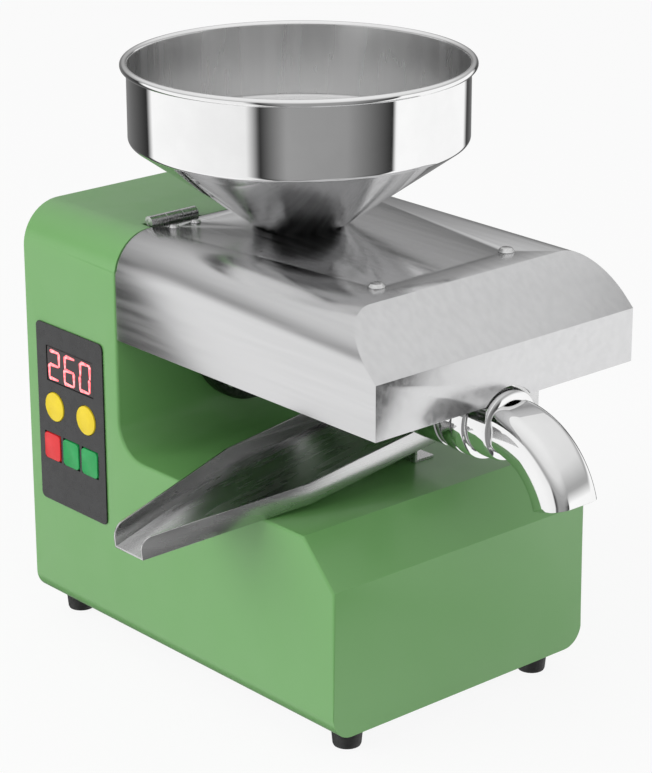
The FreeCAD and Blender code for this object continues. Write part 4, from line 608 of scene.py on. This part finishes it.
def bar(name, x, z, long, upright, y):
    # one pointed stroke of a digit: a hexagon pulled out at its ends
    thick = digitValues["stroke"]
    pull = (long - thick) / 2 * mm
    clearSelection()
    bpy.ops.mesh.primitive_circle_add(
        vertices=6, radius=thick / math.sqrt(3) * mm, fill_type="NGON", location=(0, 0, 0),
        rotation=(math.pi / 2, 0, 0))
    piece = settle(named(bpy.context.object, name))
    pickPoints(piece, lambda point: point.x > digitValues["middle"] * mm)
    bpy.ops.transform.translate(value=(pull, 0, 0))
    bpy.ops.mesh.select_all(action="INVERT")
    bpy.ops.transform.translate(value=(-pull, 0, 0))
    bpy.ops.mesh.select_all(action="SELECT")
    rise = (0, digitValues["proud"] * mm, 0)
    bpy.ops.mesh.extrude_region_move(TRANSFORM_OT_translate={"value": rise})
    bpy.ops.object.mode_set(mode="OBJECT")
    if upright:
        piece.rotation_euler = (0, math.pi / 2, 0)
        settle(piece)
    piece.location = (at(x, 0, z).x, y, z * mm)
    return tidyMesh(settle(piece))


def digit(name, number, x, z, y):
    # the usual seven strokes, a to g, of which the number's own are lit
    v = digitValues
    side, quarter = v["wide"] / 2, v["high"] / 4
    spots = {"a": (0, 2 * quarter, False), "b": (side, quarter, True),
             "c": (side, -quarter, True), "d": (0, -2 * quarter, False),
             "e": (-side, -quarter, True), "f": (-side, quarter, True), "g": (0, 0, False)}
    lit = {0: "abcdef", 2: "abged", 6: "afgcde"}[number]
    strokes = []
    for key in lit:
        dx, dz, upright = spots[key]
        long = (2 * quarter if upright else v["wide"]) - v["gap"]
        strokes.append(bar(name, x + dx + dz * v["lean"], z + dz, long, upright, y))
    return join(name, strokes)


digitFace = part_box("display_module")[0].y - digitValues["proud"] * mm
for place, number in enumerate((2, 6, 0)):
    x = digitValues["firstX"] + digitValues["pitch"] * place
    figure = digit("display_digit_%d" % place, number, x, digitValues["z"], digitFace)
    finish(figure, "frame", look["digit"])
keyNames = {"button_temperature_up": "key_temperature_up",
            "button_temperature_down": "key_temperature_down", "button_power": "key_power",
            "button_press": "key_press", "button_clear": "key_clear"}
for node, body in keyNames.items():
    dressCopy(node, node + "_cap", body, panelValues["keyEdge"], 2)
print("panel done")

# Small parts that keep their own solids' form
for node in ("hood_screws", "hinge_screws", "foot_screws", "hinge_pin_near", "hinge_pin_far",
             "inlet_socket"):
    dressCopy(node, node + "_metal", "hood" if node.startswith(("hood", "hinge")) else "frame")
print("small parts done")

# Floor: pale under the object's shadow, nearly white to the camera, unseen in reflections
floorValues = {"size": 8.0, "drop": 0.1, "grey": 0.85, "rough": 0.9, "white": 0.9}
clearSelection()
bpy.ops.mesh.primitive_plane_add(size=floorValues["size"],
                                 location=(0, 0, -floorValues["drop"] * mm))
floor = named(bpy.context.object, "studio_floor")
paleFloor, tree, shader = newMaterial("paleFloor")
shader.inputs["Base Color"].default_value = (*[floorValues["grey"]] * 3, 1)
shader.inputs["Roughness"].default_value = floorValues["rough"]
path = addNode(tree, "ShaderNodeLightPath")
white = addNode(tree, "ShaderNodeEmission", Color=(1, 1, 1, 1), Strength=1.0)
clear = addNode(tree, "ShaderNodeBsdfTransparent")
seen = addNode(tree, "ShaderNodeMixShader")
share = addNode(tree, "ShaderNodeMath", {"operation": "MULTIPLY"})
share.inputs[1].default_value = floorValues["white"]
glossy = addNode(tree, "ShaderNodeMixShader")
tree.links.new(path.outputs["Is Camera Ray"], share.inputs[0])
tree.links.new(share.outputs[0], seen.inputs[0])
tree.links.new(shader.outputs[0], seen.inputs[1])
tree.links.new(white.outputs[0], seen.inputs[2])
tree.links.new(path.outputs["Is Glossy Ray"], glossy.inputs[0])
tree.links.new(seen.outputs[0], glossy.inputs[1])
tree.links.new(clear.outputs[0], glossy.inputs[2])
tree.links.new(glossy.outputs[0], tree.nodes["Material Output"].inputs["Surface"])
floor.data.materials.append(paleFloor)

# World: panels and dark gaps all round, as (share of the circle, level), and a soft ceiling
# above them, as (height of the direction, level)
worldValues = {
    "turn": 41.27, "ceilingSpan": (0.10, 0.25), "diffuse": 0.55,
    "panels": [(0.0, 0.30), (0.165, 0.03), (0.183, 1.15), (0.403, 1.0), (0.428, 0.03),
               (0.478, 0.38), (0.589, 0.34), (0.680, 0.03), (0.688, 1.15), (0.897, 1.1),
               (0.917, 0.05), (1.0, 0.30)],
    "ceiling": [(0.0, 0.42), (0.30, 0.45), (0.55, 0.85), (1.0, 1.0)]}


def greyRamp(tree, value, levels):
    ramp = addNode(tree, "ShaderNodeValToRGB")
    tree.links.new(value, ramp.inputs["Fac"])
    stops = ramp.color_ramp.elements
    while len(stops) < len(levels):
        stops.new(0.5)
    for stop, (spot, level) in zip(stops, levels):
        stop.position = spot
        stop.color = (level, level, level, 1)
    return ramp.outputs["Color"]


world = bpy.data.worlds.new("studio")
bpy.context.scene.world = world
world.use_nodes = True
tree = world.node_tree
tree.nodes.clear()
place = addNode(tree, "ShaderNodeTexCoord")
turned = addNode(tree, "ShaderNodeMapping", Rotation=(0, 0, math.radians(worldValues["turn"])))
around = addNode(tree, "ShaderNodeTexGradient", {"gradient_type": "RADIAL"})
split = addNode(tree, "ShaderNodeSeparateXYZ")
tree.links.new(place.outputs["Generated"], turned.inputs["Vector"])
tree.links.new(turned.outputs["Vector"], around.inputs["Vector"])
tree.links.new(place.outputs["Generated"], split.inputs[0])
height = split.outputs["Z"]
mix = addNode(tree, "ShaderNodeMix", {"data_type": "RGBA"})
tree.links.new(spread(tree, height, 0, 1, worldValues["ceilingSpan"]),
               mix.inputs[mixSockets["share"]])
tree.links.new(greyRamp(tree, around.outputs["Fac"], worldValues["panels"]),
               mix.inputs[mixSockets["first"]])
tree.links.new(greyRamp(tree, height, worldValues["ceiling"]),
               mix.inputs[mixSockets["second"]])
# reflections see the panels, the camera sees white and everything else a soft even light
reflected = addNode(tree, "ShaderNodeBackground", Strength=1.0)
tree.links.new(mix.outputs[mixSockets["result"]], reflected.inputs["Color"])
soft = addNode(tree, "ShaderNodeBackground", Color=(1, 1, 1, 1), Strength=worldValues["diffuse"])
backdrop = addNode(tree, "ShaderNodeBackground", Color=(1, 1, 1, 1), Strength=1.0)
path = addNode(tree, "ShaderNodeLightPath")
first = addNode(tree, "ShaderNodeMixShader")
second = addNode(tree, "ShaderNodeMixShader")
output = addNode(tree, "ShaderNodeOutputWorld")
tree.links.new(path.outputs["Is Glossy Ray"], first.inputs[0])
tree.links.new(soft.outputs[0], first.inputs[1])
tree.links.new(reflected.outputs[0], first.inputs[2])
tree.links.new(path.outputs["Is Camera Ray"], second.inputs[0])
tree.links.new(first.outputs[0], second.inputs[1])
tree.links.new(backdrop.outputs[0], second.inputs[2])
tree.links.new(second.outputs[0], output.inputs["Surface"])

# Lamps, in metres and watts
lampTarget = (0, 0, 0.12)
lamps = {"key": {"spot": (-0.7, -1.7, 0.9), "size": 1.6, "watts": 22.0},
         "fill": {"spot": (1.6, -0.4, 0.9), "size": 1.2, "watts": 6.0}}


def aim(spot, target):
    return (Vector(target) - Vector(spot)).to_track_quat("-Z", "Y").to_euler()


for name, values in lamps.items():
    clearSelection()
    bpy.ops.object.light_add(type="AREA", location=values["spot"])
    lamp = bpy.context.object
    lamp.name = name
    lamp.data.size = values["size"]
    lamp.data.energy = values["watts"]
    lamp.rotation_euler = aim(values["spot"], lampTarget)
    lamp.visible_glossy = False

# Camera
cameraValues = {"spot": (978.0, -806.5, 578.0), "target": (59.0, 0.0, 138.0), "roll": -0.14,
                "lens": 126.69, "sensor": 36, "far": 30}
clearSelection()
bpy.ops.object.camera_add(location=at(*cameraValues["spot"]))
camera = bpy.context.object
camera.rotation_euler = aim(at(*cameraValues["spot"]), at(*cameraValues["target"]))
camera.rotation_euler.rotate_axis("Z", math.radians(cameraValues["roll"]))
camera.data.lens = cameraValues["lens"]
camera.data.sensor_width = cameraValues["sensor"]
camera.data.clip_end = cameraValues["far"]
bpy.context.scene.camera = camera
bpy.context.scene.view_settings.view_transform = "Standard"
print("studio done")

bpy.context.view_layer.update()
